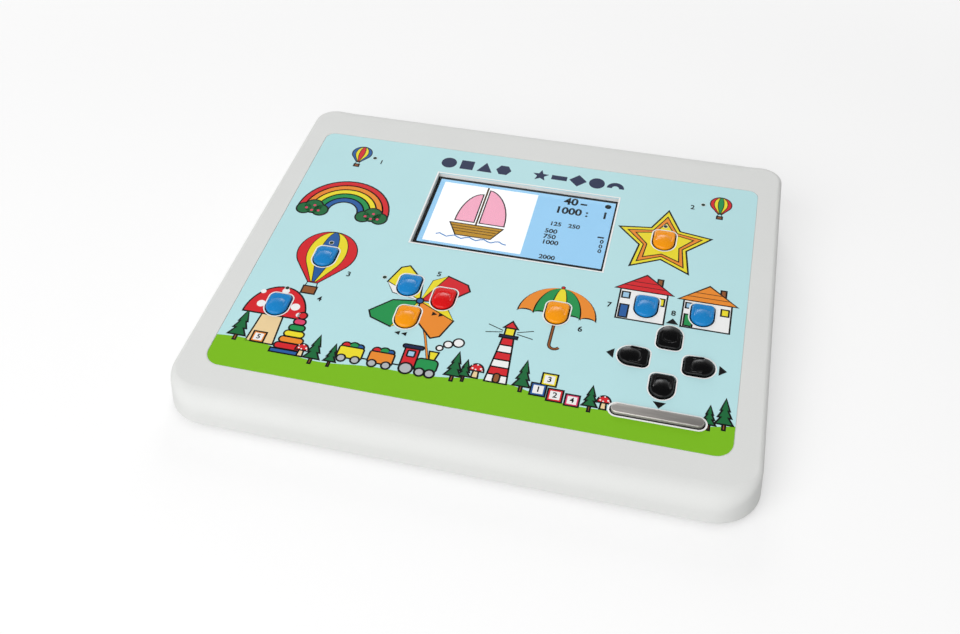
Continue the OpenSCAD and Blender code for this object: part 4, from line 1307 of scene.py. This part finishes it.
stage = {
    "worldLevel": 0.61, "cardStart": 0.4, "cardEnd": 0.9, "cardLevel": 0.2,
    "horizonTop": 0.4, "ceilingBottom": 0.66, "ceilingLevel": 0.12,
    "floorColour": "D6D6D6", "floorGlow": 0.37, "floorSize": 3, "fadeStart": 0.33, "fadeEnd": 0.85,
    # each lamp's place, size and power
    "lamps": {"main lamp": ((-0.42, -1.15, 0.95), (1.8, 1.2), 15.8),
              "back lamp": ((-0.3, 1.5, 0.7), (0.7, 0.7), 5)},
    "aim": (0, 0, 0.02),
}


def makeLamp(name, place, size, power):
    data = bpy.data.lights.new(name, "AREA")
    data.shape = "RECTANGLE"
    data.size, data.size_y = size
    data.energy = power
    lamp = bpy.data.objects.new(name, data)
    scene.collection.objects.link(lamp)
    turn = (Vector(stage["aim"]) - Vector(place)).to_track_quat("-Z", "Y")
    lamp.matrix_world = Matrix.Translation(place) @ turn.to_matrix().to_4x4()


def seenRays(tree):
    # 1 for rays that show the background: straight, in a reflection or through something clear
    rays = addNode(tree, "ShaderNodeLightPath").outputs
    first = addNode(tree, "ShaderNodeMath",
                    {0: rays["Is Camera Ray"], 1: rays["Is Glossy Ray"]}, operation="MAXIMUM")
    return addNode(tree, "ShaderNodeMath", {0: first.outputs[0], 1: rays["Is Transmission Ray"]},
                   operation="MAXIMUM").outputs[0]


def makeWorld():
    # an even light with darker cards at both sides, seen as white walls under a dim ceiling
    world = bpy.data.worlds.new("studio")
    world.use_nodes = True
    tree = world.node_tree
    tree.nodes.clear()
    way = addNode(tree, "ShaderNodeTexCoord").outputs["Generated"]
    parts = addNode(tree, "ShaderNodeSeparateXYZ", {"Vector": way})
    aside = addNode(tree, "ShaderNodeMath", {0: parts.outputs["X"]}, operation="ABSOLUTE")
    even = addNode(tree, "ShaderNodeMapRange", {
        "Value": aside.outputs[0], "From Min": stage["cardStart"], "From Max": stage["cardEnd"],
        "To Min": stage["worldLevel"], "To Max": stage["worldLevel"] * stage["cardLevel"]},
        interpolation_type="SMOOTHSTEP").outputs[0]
    wall = addNode(tree, "ShaderNodeMapRange", {
        "Value": parts.outputs["Z"], "From Min": stage["horizonTop"],
        "From Max": stage["ceilingBottom"], "To Min": 1.0, "To Max": stage["ceilingLevel"]},
        interpolation_type="SMOOTHSTEP").outputs[0]
    level = addNode(tree, "ShaderNodeMapRange",
                    {"Value": seenRays(tree), "To Min": even, "To Max": wall})
    sky = addNode(tree, "ShaderNodeBackground",
                  {"Color": linear("FFFFFF"), "Strength": level.outputs[0]})
    addNode(tree, "ShaderNodeOutputWorld", {"Surface": sky.outputs[0]})
    scene.world = world


def makeFloor():
    bm = bmesh.new()
    bmesh.ops.create_grid(bm, x_segments=1, y_segments=1, size=stage["floorSize"])
    floor = newObject("floor", bm)
    material, tree = newMaterial("white paper sweep")
    paper = addNode(tree, "ShaderNodeBsdfDiffuse", {"Color": linear(stage["floorColour"])})
    seen = addNode(tree, "ShaderNodeMath", {0: seenRays(tree), 1: stage["floorGlow"]},
                   operation="MULTIPLY")
    glow = addNode(tree, "ShaderNodeEmission",
                   {"Color": linear("FFFFFF"), "Strength": seen.outputs[0]})
    near = addNode(tree, "ShaderNodeAddShader", {0: paper.outputs[0], 1: glow.outputs[0]})
    # away from the object the paper turns to the white of the walls, so that no edge shows
    spot = addNode(tree, "ShaderNodeTexCoord").outputs["Object"]
    reach = addNode(tree, "ShaderNodeVectorMath", {0: spot}, operation="LENGTH").outputs["Value"]
    far = addNode(tree, "ShaderNodeMapRange", {
        "Value": reach, "From Min": stage["fadeStart"], "From Max": stage["fadeEnd"]},
        interpolation_type="SMOOTHSTEP")
    share = addNode(tree, "ShaderNodeMath", {0: far.outputs[0], 1: seenRays(tree)},
                    operation="MULTIPLY")
    white = addNode(tree, "ShaderNodeEmission", {"Color": linear("FFFFFF"), "Strength": 1.0})
    both = addNode(tree, "ShaderNodeMixShader", {
        0: share.outputs[0], 1: near.outputs[0], 2: white.outputs[0]})
    addNode(tree, "ShaderNodeOutputMaterial", {"Surface": both.outputs[0]})
    floor.data.materials.append(material)


makeCamera()
makeWorld()
for name, details in stage["lamps"].items():
    makeLamp(name, *details)
makeFloor()
scene.view_settings.view_transform = "Standard"
print("camera, light and floor")
